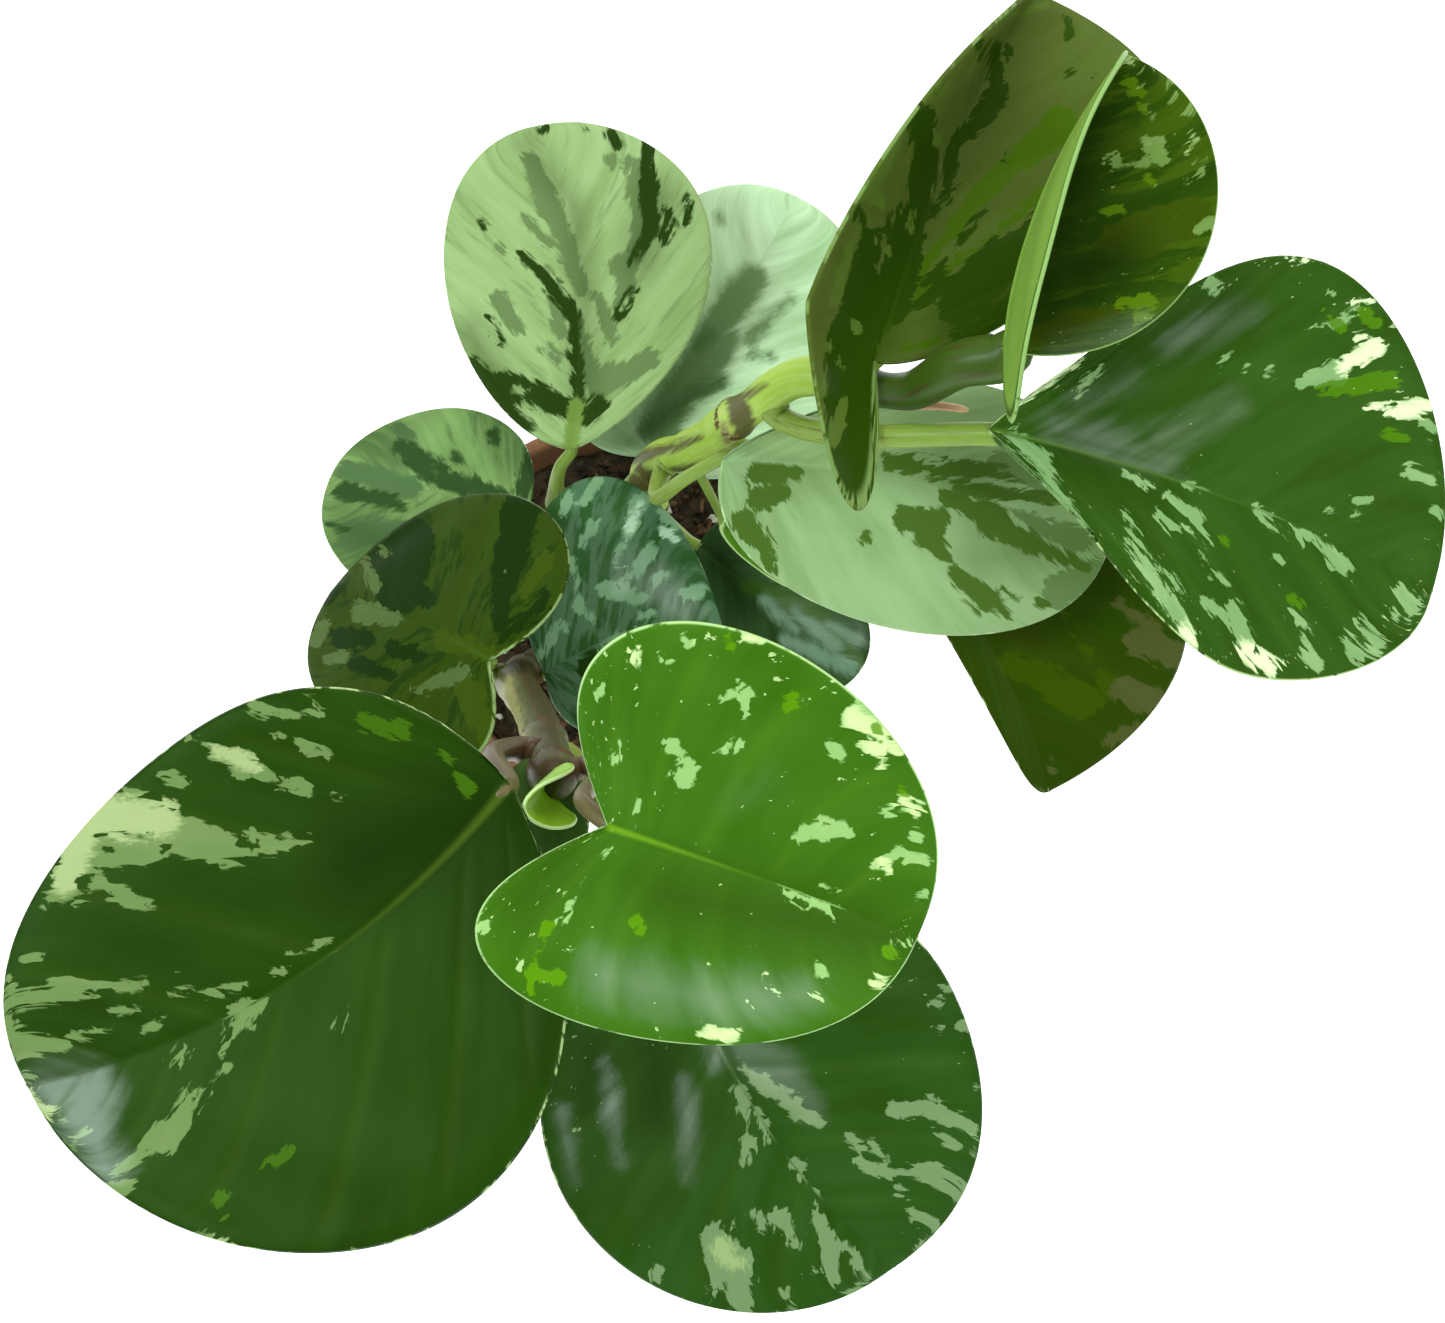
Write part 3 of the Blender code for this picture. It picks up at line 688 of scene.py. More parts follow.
makeLeaf({
    "name": "leaf_front_left", "detail": "near", "slot": "leaf_dark", "seed": 1,
    "base": (-4.5, -99, 267), "heading": -150, "rise": -10, "roll": -10,
    "length": 82.5, "halfLeft": 37, "halfRight": 35, "bend": 0.09, "widest": 0.47,
    "lobeLeft": 0, "lobeRight": -0.08, "taper": -0.27, "foldLeft": 8, "foldRight": 3, "droop": -6,
    "stem": "stem_front", "stalk": [(-7, -87, 245), (-8.5, -91.5, 256)], "stalkMaterial": brownStalk,
    "paintedShade": [(500, 800, 360, 860, 40, 50)],
    "cream": [(95, 802, 66, 880, 17, 14), (110, 815, 165, 818, 20, 16), (215, 748, 255, 765, 5, 6),
              (28, 1098, 50, 1118, 8, 6), (222, 1243, 230, 1246, 5, 5)],
    "pale": [(125, 805, 215, 845, 16, 19), (215, 847, 305, 841, 17, 5), (85, 850, 150, 848, 16, 14),
             (52, 900, 100, 880, 10, 12), (100, 882, 150, 903, 9, 5), (192, 739, 245, 762, 4, 11),
             (240, 765, 304, 787, 10, 6), (257, 707, 298, 716, 7, 7), (310, 707, 317, 712, 5, 4),
             (279, 732, 286, 737, 3, 2), (300, 741, 325, 757, 6, 6), (160, 773, 180, 782, 5, 4),
             (334, 797, 340, 799, 2, 1), (8, 1003, 60, 994, 7, 8), (60, 990, 145, 983, 10, 4),
             (6, 1022, 20, 1045, 9, 11), (20, 1041, 64, 1041, 11, 7), (76, 1032, 116, 1027, 5, 4),
             (115, 1012, 135, 1012, 4, 4), (145, 1031, 165, 1018, 5, 4), (170, 994, 192, 992, 3, 4),
             (205, 992, 242, 987, 3, 5), (295, 954, 331, 945, 5, 3), (268, 974, 285, 971, 2, 2),
             (243, 1004, 222, 1046, 9, 4), (262, 1003, 253, 1027, 4, 3), (350, 1005, 337, 1028, 2, 3),
             (187, 1052, 175, 1066, 7, 5), (229, 1065, 197, 1094, 4, 9), (192, 1100, 165, 1145, 11, 12),
             (168, 1130, 110, 1182, 14, 5), (132, 1165, 122, 1190, 6, 3), (86, 1133, 76, 1140, 8, 7),
             (62, 1118, 66, 1120, 5, 4), (200, 1240, 210, 1238, 6, 5), (342, 1257, 352, 1254, 3, 2),
             (175, 961, 178, 962, 2, 2), (30, 960, 39, 958, 3, 3), (28, 936, 34, 934, 2, 2),
             (10, 978, 12, 988, 4, 3), (24, 1075, 30, 1077, 4, 3), (118, 826, 121, 829, -3, -3),
             (108, 847, 120, 852, -3, -4), (54, 876, 84, 884, -3, -5), (104, 893, 112, 896, -2, -3),
             (243, 842, 256, 848, -3, -4)],
    "lime": [(222, 1198, 223, 1214, 7, 5), (262, 1166, 292, 1152, 4, 4), (368, 722, 406, 732, 7, 8),
             (440, 750, 470, 790, 3, 6)],
    "sheen": [(40, 1085, 90, 1092, 24, 28), (85, 1110, 108, 1165, 28, 16), (60, 780, 90, 760, 6, 6)],
    "look": {"ground": (0.009, 0.033, 0.0007), "groundAlt": (0.014, 0.046, 0.0025), "sheenSpread": 2.8,
             "ribColour": (0.065, 0.11, 0.008), "rimShare": 0.15, "lime": (0.04, 0.11, 0.003),
             "cream": (0.32, 0.39, 0.175), "grey": (0.125, 0.2, 0.064), "ribShare": 0.75}})

makeLeaf({
    "name": "leaf_front_top", "detail": "near", "slot": "leaf_bright", "seed": 2,
    "base": (10.2, -108.5, 280.3), "heading": -18, "rise": -12, "roll": 26,
    "length": 45, "halfLeft": 33.5, "halfRight": 27, "bend": 0.01, "widest": 0.355,
    "fullnessLeft": 1.1, "fullnessRight": 0.9, "lobeLeft": 0.49, "lobeRight": 0.55, "taper": 0.19,
    "foldLeft": 15, "foldRight": 9, "droop": -4,
    "stem": "stem_front", "stalk": [(7, -92, 254), (7.5, -97.5, 264), (6.5, -103.5, 275)],
    "stalkRadius": 1.5, "stalkMaterial": brownStalk,
    "paintedShade": [(665, 895, 860, 930, 24, 28), (860, 930, 910, 940, 26, 10), (560, 850, 520, 900, 16, 14)],
    "cream": [(856, 720, 898, 748, 10, 11), (745, 638, 760, 640, 4, 3), (903, 798, 916, 812, 6, 6),
              (868, 735, 882, 752, 9, 8), (880, 765, 872, 778, 5, 4), (888, 866, 880, 858, 3, 3),
              (545, 990, 546, 1000, 3, 4), (876, 980, 890, 984, 6, 4), (695, 1036, 735, 1032, 4, 3),
              (634, 650, 632, 660, 4, 2), (600, 1038, 625, 1038, 3, 2), (770, 976, 771, 985, 2, 2)],
    "pale": [(738, 681, 740, 688, 3, 4), (731, 693, 724, 702, 4, 4), (744, 696, 745, 712, 7, 4),
             (674, 745, 680, 750, 5, 4), (690, 762, 682, 784, 6, 6), (834, 748, 840, 755, 8, 7),
             (732, 742, 728, 748, 3, 3), (712, 744, 713, 748, 2, 2), (797, 836, 842, 828, 9, 9),
             (880, 860, 896, 852, 5, 5), (908, 858, 922, 859, 4, 4), (822, 886, 838, 887, 4, 4),
             (780, 889, 835, 910, 3, 5), (880, 812, 918, 806, 3, 5), (914, 834, 917, 838, 4, 3),
             (885, 755, 872, 776, 5, 4), (858, 768, 862, 770, 3, 2), (667, 643, 668, 652, 3, 3),
             (684, 640, 688, 645, 3, 3), (600, 689, 604, 684, 3, 2), (612, 757, 618, 747, 1.5, 1.5),
             (609, 852, 560, 918, 1.2, 1.6), (570, 1014, 572, 1020, 3, 3), (482, 922, 484, 925, 3, 2),
             (530, 848, 538, 846, 3, 2), (915, 898, 925, 893, 2, 3), (860, 705, 872, 712, 3, 4),
             (898, 940, 904, 944, 3, 3), (824, 970, 829, 973, 3, 2), (637, 808, 640, 800, 2, 2)],
    "lime": [(787, 710, 794, 694, 8, 7), (727, 639, 731, 647, 6, 6), (545, 975, 556, 978, 9, 8),
             (637, 925, 640, 930, 5, 4), (876, 726, 880, 738, 3, 3), (548, 925, 540, 950, 4, 3),
             (535, 960, 530, 992, 3, 4), (900, 788, 905, 792, 4, 3), (888, 950, 896, 953, 5, 4)],
    "sheen": [(610, 975, 700, 1000, 20, 26), (700, 1000, 800, 995, 26, 16), (740, 800, 770, 785, 6, 6)],
    # On this leaf the deep green is only the colour of the painted shade below the midrib and by the base.
    "look": {"ground": (0.032, 0.115, 0.003), "groundAlt": (0.05, 0.155, 0.009), "flecks": 0.75,
             "deep": (0.024, 0.068, 0.002), "ribColour": (0.15, 0.32, 0.012), "ribShare": 0.9, "ribFade": 0.9,
             "grey": (0.27, 0.47, 0.15), "cream": (0.62, 0.74, 0.34), "rimColour": (0.42, 0.64, 0.25),
             "rimShare": 0.55, "lime": (0.09, 0.25, 0.002)}})

makeLeaf({
    "name": "leaf_front_low", "detail": "near", "slot": "leaf_dark", "seed": 3,
    "base": (20, -118.5, 236.5), "heading": -54, "rise": -22, "roll": 9,
    "length": 63, "halfLeft": 36, "halfRight": 31.5, "bend": -0.07, "widest": 0.45,
    "lobeLeft": 0.06, "lobeRight": 0.27, "taper": -0.04, "foldLeft": 1, "foldRight": 9, "droop": -12,
    "stem": "stem_front", "stalk": [(7, -90, 236), (14, -108, 239)],
    "paintedShade": [(655, 1040, 655, 1110, 18, 14), (590, 1050, 585, 1100, 14, 10)],
    "cream": [(720, 1250, 735, 1262, 10, 8), (553, 1194, 555, 1198, 4, 3)],
    "pale": [(712, 1234, 720, 1262, 10, 17), (735, 1256, 742, 1300, 15, 12), (712, 1280, 707, 1292, 7, 4),
             (738, 1090, 744, 1125, 9, 6), (744, 1125, 748, 1158, 5, 5), (756, 1112, 768, 1140, 4, 3),
             # The pale strokes from (744, 1068) to (820, 1122) are partly marbling and partly a painted sheen
             # where the leaf catches the light.
             (744, 1068, 795, 1106, 5, 8), (795, 1106, 820, 1122, 7, 4), (850, 1135, 863, 1146, 3, 4),
             (872, 1142, 887, 1160, 3, 4), (860, 1160, 876, 1173, 4, 3), (897, 1107, 930, 1105, 8, 9),
             (930, 1107, 968, 1125, 8, 8), (935, 1134, 956, 1141, 5, 5), (973, 1144, 976, 1148, 5, 4),
             (885, 1170, 930, 1174, 4, 8), (930, 1174, 960, 1195, 8, 7), (898, 1186, 912, 1192, 5, 4),
             (816, 1214, 828, 1240, 5, 7), (830, 1245, 834, 1279, 8, 5), (842, 1243, 868, 1278, 8, 5),
             (779, 1216, 796, 1245, 6, 4), (758, 1212, 764, 1240, 3, 1), (733, 1218, 733, 1224, 2, 2),
             (653, 1218, 654, 1223, 3, 3), (795, 1160, 804, 1178, 4, 2), (812, 1192, 815, 1202, 3, 3),
             (785, 1312, 793, 1318, 5, 6), (785, 1288, 786, 1294, 3, 2), (806, 1273, 812, 1273, 3, 3),
             (848, 1298, 862, 1290, 7, 6), (920, 1247, 928, 1242, 4, 3), (912, 1212, 935, 1226, 4, 5),
             (940, 986, 948, 986, 3, 3), (933, 1003, 940, 1003, 3, 3), (934, 1028, 942, 1029, 3, 3),
             (962, 1027, 966, 1026, 3, 2), (975, 1088, 979, 1090, 4, 3), (568, 1230, 573, 1231, 3, 2),
             (657, 1270, 658, 1278, 2, 3), (845, 1258, 846, 1270, -4, -3), (752, 1118, 757, 1140, -3, -3)],
    "sheen": [(725, 1040, 775, 1068, 20, 24), (775, 1068, 812, 1108, 22, 12), (682, 1080, 690, 1130, 5, 8),
              (690, 1130, 686, 1178, 8, 5), (606, 1065, 612, 1110, 4, 6), (612, 1110, 618, 1160, 6, 5),
              (560, 1110, 572, 1180, 4, 5), (720, 1045, 715, 1060, 8, 8)],
    "look": {"ground": (0.014, 0.05, 0.002), "groundAlt": (0.022, 0.072, 0.009), "flecks": 0.25,
             "cream": (0.27, 0.38, 0.155), "grey": (0.15, 0.235, 0.1), "sheenSpread": 2.0}})

makeLeaf({
    "name": "leaf_left_dark", "detail": "far", "slot": "leaf_dark", "seed": 4,
    "base": (-23, -43.5, 166), "heading": 149, "rise": -24, "roll": -4,
    "length": 54, "halfLeft": 29.5, "halfRight": 38.5, "bend": -0.03, "widest": 0.48,
    "lobeLeft": 0.55, "lobeRight": 0.38, "taper": 0.23, "foldLeft": -1, "foldRight": -6, "droop": -7,
    "stem": "stem_front", "stalk": [(-27, -39, 149), (-26, -42, 160)],
    "mid": [(445, 640, 490, 655, 10, 8), (470, 690, 490, 740, 14, 10), (545, 560, 525, 595, 9, 6)],
    "deep": [(412, 540, 400, 590, 22, 24), (385, 560, 378, 566, 16, 14), (425, 595, 428, 600, 10, 9),
             (522, 508, 512, 560, 19, 16), (505, 570, 500, 625, 14, 8), (545, 600, 505, 640, 8, 5),
             (340, 636, 368, 640, 10, 10), (395, 650, 420, 655, 8, 6), (330, 600, 340, 590, 5, 5),
             (360, 665, 390, 675, 8, 7)],
    "pale": [(502, 572, 503, 580, 3, 3), (365, 562, 378, 590, 5, 5), (383, 553, 387, 556, 4, 3),
             (360, 612, 395, 620, 11, 7), (318, 640, 326, 622, 6, 5), (330, 660, 345, 658, 5, 4),
             (420, 692, 462, 672, 6, 8)],
    "look": {"ground": (0.022, 0.045, 0.001), "groundAlt": (0.026, 0.052, 0.003), "grey": (0.07, 0.11, 0.03),
             "cream": (0.15, 0.22, 0.1), "mid": (0.034, 0.064, 0.002),
             "rimShare": 0.35, "ribShare": 0.3, "rimColour": (0.24, 0.34, 0.13), "ragged": 2.8,
             "streaks": 0.5, "streakColour": (0.009, 0.028, 0.0005), "streakShare": 0.8}})

makeLeaf({
    "name": "leaf_left_back", "detail": "far", "slot": "leaf_pale", "seed": 5,
    "base": (-20.5, 2, 138), "heading": 164, "rise": -6, "roll": -2,
    "length": 51, "halfLeft": 28.5, "halfRight": 23, "bend": -0.03, "widest": 0.44,
    "lobeLeft": 0.11, "lobeRight": 0.04, "taper": 0, "foldLeft": 5, "foldRight": -1, "droop": -6,
    "stem": "stem_back", "stalk": [(-17, 2, 121), (-20, 1.5, 131)],
    "mid": [(350, 470, 410, 490, 12, 14), (350, 535, 400, 530, 14, 10), (400, 430, 410, 440, 6, 5)],
    "deep": [(400, 448, 445, 472, 7, 8), (445, 480, 505, 497, 11, 7), (345, 492, 400, 505, 9, 7),
             (536, 452, 524, 490, 10, 9), (492, 436, 494, 442, 6, 5), (455, 458, 459, 462, 5, 5),
             (330, 525, 345, 530, 5, 4), (415, 462, 432, 478, 8, 8), (488, 505, 470, 500, 8, 6)],
    "paintedShade": [(345, 520, 400, 560, 14, 10), (360, 440, 420, 420, 6, 6)],
    "look": {"ground": (0.2, 0.33, 0.11), "groundAlt": (0.1, 0.18, 0.055), "deep": (0.025, 0.06, 0.016),
             "mid": (0.07, 0.135, 0.05), "rimColour": (0.35, 0.5, 0.25), "soft": 0.8, "ribShare": 0.2,
             "ragged": 3.2, "streaks": 0.5, "streakColour": (0.07, 0.13, 0.045), "paintedShadeShare": 0.6}})

makeLeaf({
    "name": "leaf_middle", "detail": "far", "slot": "leaf_dark", "seed": 6,
    "base": (-14.5, -37, 138.5), "heading": 15, "rise": 2, "roll": 13,
    "length": 42, "halfLeft": 37.5, "halfRight": 30, "bend": 0.09, "widest": 0.55,
    "lobeLeft": 0.19, "lobeRight": 0.07, "taper": 0.08, "foldLeft": 10, "foldRight": 31, "droop": -10,
    "stem": "stem_front", "stalk": [(-8, -27, 119), (-10, -35, 132)],
    "pale": [(596, 480, 582, 500, 6, 6), (570, 495, 562, 515, 5, 4), (648, 496, 615, 562, 6, 4),
             (636, 500, 628, 540, 5, 5), (592, 518, 584, 545, 4, 3), (652, 548, 622, 590, 6, 4),
             (602, 590, 642, 598, 7, 7), (652, 580, 664, 574, 4, 4), (575, 600, 592, 620, 5, 5),
             (548, 645, 562, 625, 4, 5), (604, 648, 622, 634, 5, 4), (622, 633, 690, 628, 3, 2),
             (612, 644, 632, 640, 6, 5), (660, 512, 676, 524, 4, 5), (685, 596, 700, 592, 7, 6),
             (640, 615, 655, 612, 4, 3), (530, 660, 545, 652, 4, 4), (570, 560, 575, 580, 3, 3)],
    "cream": [(664, 532, 676, 540, 5, 5), (640, 506, 628, 530, 3, 3)],
    "deep": [(600, 670, 660, 650, 20, 12)],
    "sheen": [(650, 575, 685, 610, 16, 16), (625, 575, 645, 560, 10, 8)],
    "look": {"ground": (0.016, 0.06, 0.012), "groundAlt": (0.036, 0.1, 0.034), "deep": (0.008, 0.03, 0.002),
             "grey": (0.16, 0.29, 0.16), "cream": (0.4, 0.56, 0.4), "soft": 0.45, "ribShare": 0.1,
             "streaks": 0.9, "streakColour": (0.085, 0.165, 0.095), "ragged": 3.0}})

makeLeaf({
    "name": "leaf_back_tall", "detail": "far", "slot": "leaf_pale", "seed": 7,
    "base": (-9.5, 15, 147), "heading": 97, "rise": 14, "roll": -10,
    "length": 80.5, "halfLeft": 32, "halfRight": 34.5, "bend": -0.07, "widest": 0.48,
    "lobeLeft": -0.09, "lobeRight": -0.06, "taper": 0.12, "foldLeft": 4, "foldRight": 9, "droop": -7,
    "stem": "stem_back", "atEnd": True, "stalk": [(-13.5, 13, 136), (-12, 13.5, 142)],
    "mid": [(530, 160, 550, 210, 8, 11), (552, 208, 582, 290, 11, 8), (522, 216, 550, 245, 4, 5),
            (612, 160, 614, 165, 5, 5), (500, 248, 508, 252, 4, 3), (555, 290, 560, 330, 9, 8),
            (618, 265, 630, 285, 10, 8), (600, 385, 650, 360, 14, 10), (545, 348, 560, 360, 6, 6),
            (636, 165, 640, 235, 9, 9), (642, 240, 620, 300, 10, 8), (600, 300, 612, 340, 7, 6),
            (500, 300, 520, 330, 10, 8), (575, 320, 592, 380, 8, 10)],
    "paintedShade": [(526, 142, 575, 205, 4, 5), (575, 205, 588, 290, 5, 6), (588, 290, 583, 390, 6, 8),
             (470, 330, 500, 400, 10, 14), (660, 200, 640, 260, 14, 12)],
    "deep": [(648, 150, 652, 230, 8, 10), (655, 228, 632, 262, 9, 5), (668, 212, 676, 224, 4, 4),
             (688, 200, 688, 226, 4, 4), (674, 230, 668, 245, 4, 3), (648, 140, 652, 145, 5, 5),
             (633, 292, 620, 316, 6, 5), (521, 254, 545, 275, 4, 6), (545, 278, 574, 318, 6, 8),
             (574, 318, 580, 395, 6, 7), (492, 318, 502, 341, 5, 6), (480, 222, 484, 227, 4, 4),
             (472, 366, 500, 398, 9, 16), (505, 384, 548, 398, 14, 11), (500, 410, 528, 426, 12, 7),
             (545, 400, 580, 412, 12, 12), (610, 134, 618, 145, 4, 4), (545, 128, 540, 132, 4, 4),
             (588, 130, 589, 131, 3, 2), (578, 119, 582, 120, 3, 2), (586, 420, 600, 405, 8, 10),
             (516, 390, 528, 392, -4, -3)],
    "lime": [(577, 405, 571, 445, 7, 9)],
    "look": {"ground": (0.29, 0.415, 0.18), "groundAlt": (0.22, 0.33, 0.12), "deep": (0.014, 0.035, 0.003),
             "mid": (0.12, 0.19, 0.07), "lime": (0.15, 0.24, 0.045), "ribShare": 0.1,
             "rimColour": (0.5, 0.65, 0.3), "soft": 0.5, "ragged": 3.0, "paintedShadeShare": 0.7,
             "streaks": 0.2, "streakColour": (0.15, 0.23, 0.09), "streakShare": 0.6}})

makeLeaf({
    "name": "leaf_back_broad", "detail": "far", "slot": "leaf_pale", "seed": 8,
    "base": (8.5, 18, 137.5), "heading": 61, "rise": 12, "roll": 3,
    "length": 73.5, "halfLeft": 32, "halfRight": 33, "bend": -0.01, "widest": 0.52,
    "lobeLeft": 0.25, "lobeRight": 0.1, "taper": 0.05, "foldLeft": 2, "foldRight": 5, "droop": -3,
    "stem": "stem_back", "stalk": [(-3, 12, 114), (5, 17, 130)],
    "mid": [(750, 280, 705, 345, 16, 16), (705, 345, 660, 430, 14, 22), (730, 340, 700, 390, 12, 12),
            (720, 218, 721, 222, 4, 4), (790, 300, 750, 340, 5, 8)],
    "deep": [(722, 382, 690, 395, 8, 8), (752, 356, 772, 357, 4, 3), (700, 345, 712, 335, 5, 5),
             (690, 395, 650, 430, 6, 8)],
    "paintedShade": [(735, 300, 690, 370, 20, 24), (690, 370, 640, 440, 24, 26)],
    "look": {"ground": (0.56, 0.76, 0.5), "groundAlt": (0.33, 0.5, 0.26), "deep": (0.07, 0.14, 0.05),
             "mid": (0.14, 0.23, 0.1), "rimColour": (0.6, 0.75, 0.45), "soft": 1.8, "ribShare": 0.1,
             "ragged": 2.4, "paintedShadeShare": 0.4}})

makeLeaf({
    "name": "leaf_curled", "detail": "near", "slot": "leaf_dark", "seed": 9,
    "base": (52.5, -13, 235.2), "heading": 66.5, "rise": 11, "roll": 13,
    "length": 76, "halfLeft": 23.4, "halfRight": 35, "bend": 0.03, "widestLeft": 0.484, "widestRight": 0.6,
    "lobeLeft": 0.63, "bluntLeft": 0.525, "lobeRight": -0.15, "taperLeft": 0.175, "taperRight": 0,
    "foldLeft": 87, "foldRight": 11, "baseFoldLeft": 13,
    "hook": 0.45, "droop": 0, "crease": 3.0,
    "stem": "stem_right", "stalk": [(49, -10.5, 234)],
    "mid": [(905, 292, 985, 190, 4, 9), (985, 190, 1060, 125, 10, 16), (905, 306, 1000, 228, 3, 4),
            (1000, 228, 1045, 192, 5, 6), (935, 342, 905, 348, 4, 3), (850, 470, 858, 440, 6, 4)],
    "paintedShade": [(960, 325, 1030, 290, 24, 24), (885, 300, 880, 340, 12, 12)],
    # Besides the dark marbling, the broad deep strokes paint shade: down the hanging left half, from (922,
    # 115) to (852, 480), and over the lower right, from (1000, 262) on.
    "deep": [(992, 45, 997, 88, 6, 9), (997, 92, 985, 115, 10, 12), (980, 122, 956, 140, 10, 8),
             (952, 150, 945, 195, 8, 5), (945, 195, 932, 215, 5, 3), (950, 190, 960, 185, 3, 2),
             (922, 115, 918, 200, 12, 15), (912, 215, 890, 300, 17, 22), (870, 240, 852, 300, 14, 14),
             (868, 300, 848, 350, 26, 28), (848, 350, 852, 480, 27, 26), (1067, 20, 1068, 38, 3, 3),
             (1076, 58, 1067, 77, 3, 2), (979, 40, 980, 58, 2, 2), (1006, 48, 1007, 62, 2, 2),
             (1094, 74, 1091, 80, 2, 2), (1006, 155, 1003, 163, 2, 1), (925, 285, 985, 212, 2, 3),
             (915, 306, 1040, 224, 3, 8), (1000, 262, 960, 305, 24, 22), (1045, 215, 1020, 250, 10, 14),
             (1040, 300, 960, 340, 20, 10), (890, 210, 886, 232, 3, 4), (858, 210, 862, 222, 3, 4)],
    "pale": [(842, 406, 832, 436, 8, 7), (826, 444, 824, 452, 5, 4), (855, 322, 856, 329, 4, 3),
             (824, 346, 826, 350, 4, 3), (838, 358, 840, 366, 2, 2), (818, 382, 818, 390, 3, 4),
             (906, 212, 911, 234, 4, 3), (873, 238, 876, 243, 4, 3), (884, 250, 887, 254, 4, 3),
             (932, 132, 934, 142, 3, 2), (896, 128, 872, 178, 5, 8), (868, 190, 880, 205, 10, 6),
             (848, 245, 832, 300, 4, 5), (1002, 15, 1045, 8, 4, 4), (940, 85, 920, 105, 4, 3),
             (905, 160, 903, 168, 4, 3)],
    "look": {"ground": (0.063, 0.09, 0.013), "groundAlt": (0.076, 0.112, 0.018),
             "deep": (0.018, 0.046, 0.0005), "mid": (0.05, 0.108, 0.002),
             "grey": (0.075, 0.125, 0.016), "cream": (0.14, 0.21, 0.05),
             "rimColour": (0.16, 0.25, 0.07), "rimShare": 0.3, "ribColour": (0.04, 0.08, 0.002),
             "ribShare": 0.3, "ragged": 2.6}})

makeLeaf({
    "name": "leaf_folded", "detail": "near", "slot": "leaf_dark", "seed": 10,
    "base": (72.5, -20.5, 252), "heading": 67, "rise": 16, "roll": 5,
    "length": 52.5, "halfLeft": 21, "halfRight": 28.5, "bend": 0.07, "widest": 0.45,
    "lobeLeft": 0.6, "lobeRight": -0.05, "taperLeft": 0.4, "taperRight": 0.1,
    "foldLeft": 93, "foldRight": 7, "curlLeft": 7, "droop": 7, "crease": 1.0,
    "stem": "stem_right", "atEnd": True, "stalk": [(59.5, -17.3, 233.2), (66, -18.2, 243.5)],
    "stalkRadius": 2.8, "stalkEnd": 4.5, "stalkMaterial": darkStalk,
    "paintedShade": [(1045, 300, 1090, 130, 22, 16), (1080, 270, 1120, 260, 26, 20)],
    "mid": [(1040, 335, 1110, 312, 10, 10), (1120, 245, 1190, 215, 20, 22)],
    "cream": [(1195, 138, 1186, 152, 4, 4), (1120, 61, 1130, 64, 3, 3)],
    "pale": [(1115, 166, 1145, 164, 4, 5), (1150, 146, 1162, 160, 8, 8), (1104, 160, 1112, 156, 3, 3),
             (1196, 140, 1186, 154, 6, 5), (1204, 158, 1180, 176, 3, 2), (1200, 172, 1180, 190, 2, 2),
             (1200, 232, 1214, 220, 4, 3), (1170, 106, 1177, 94, 4, 4), (1166, 78, 1172, 82, 3, 4),
             (1190, 112, 1192, 108, 2, 2), (1125, 60, 1136, 68, 4, 4), (1145, 110, 1150, 115, 3, 3)],
    "lime": [(1128, 82, 1142, 96, 6, 6), (1138, 105, 1146, 112, 4, 4), (1148, 178, 1154, 184, 4, 3),
             (1106, 212, 1122, 210, 4, 4), (1120, 303, 1148, 303, 7, 7), (1138, 318, 1146, 316, 5, 4)],
    "sheen": [(1060, 350, 1140, 328, 6, 6)],
    "look": {"ground": (0.011, 0.034, 0.0005), "groundAlt": (0.024, 0.062, 0.001),
             "deep": (0.006, 0.018, 0.0002), "mid": (0.032, 0.056, 0.001), "lime": (0.075, 0.15, 0.002),
             "grey": (0.12, 0.21, 0.045), "cream": (0.32, 0.42, 0.15), "flecks": 0.3, "rimShare": 0.75,
             "under": (0.2, 0.35, 0.055), "underShare": 0.9, "rimColour": (0.24, 0.4, 0.12),
             "streaks": 0.7, "streakColour": (0.045, 0.085, 0.002)}})

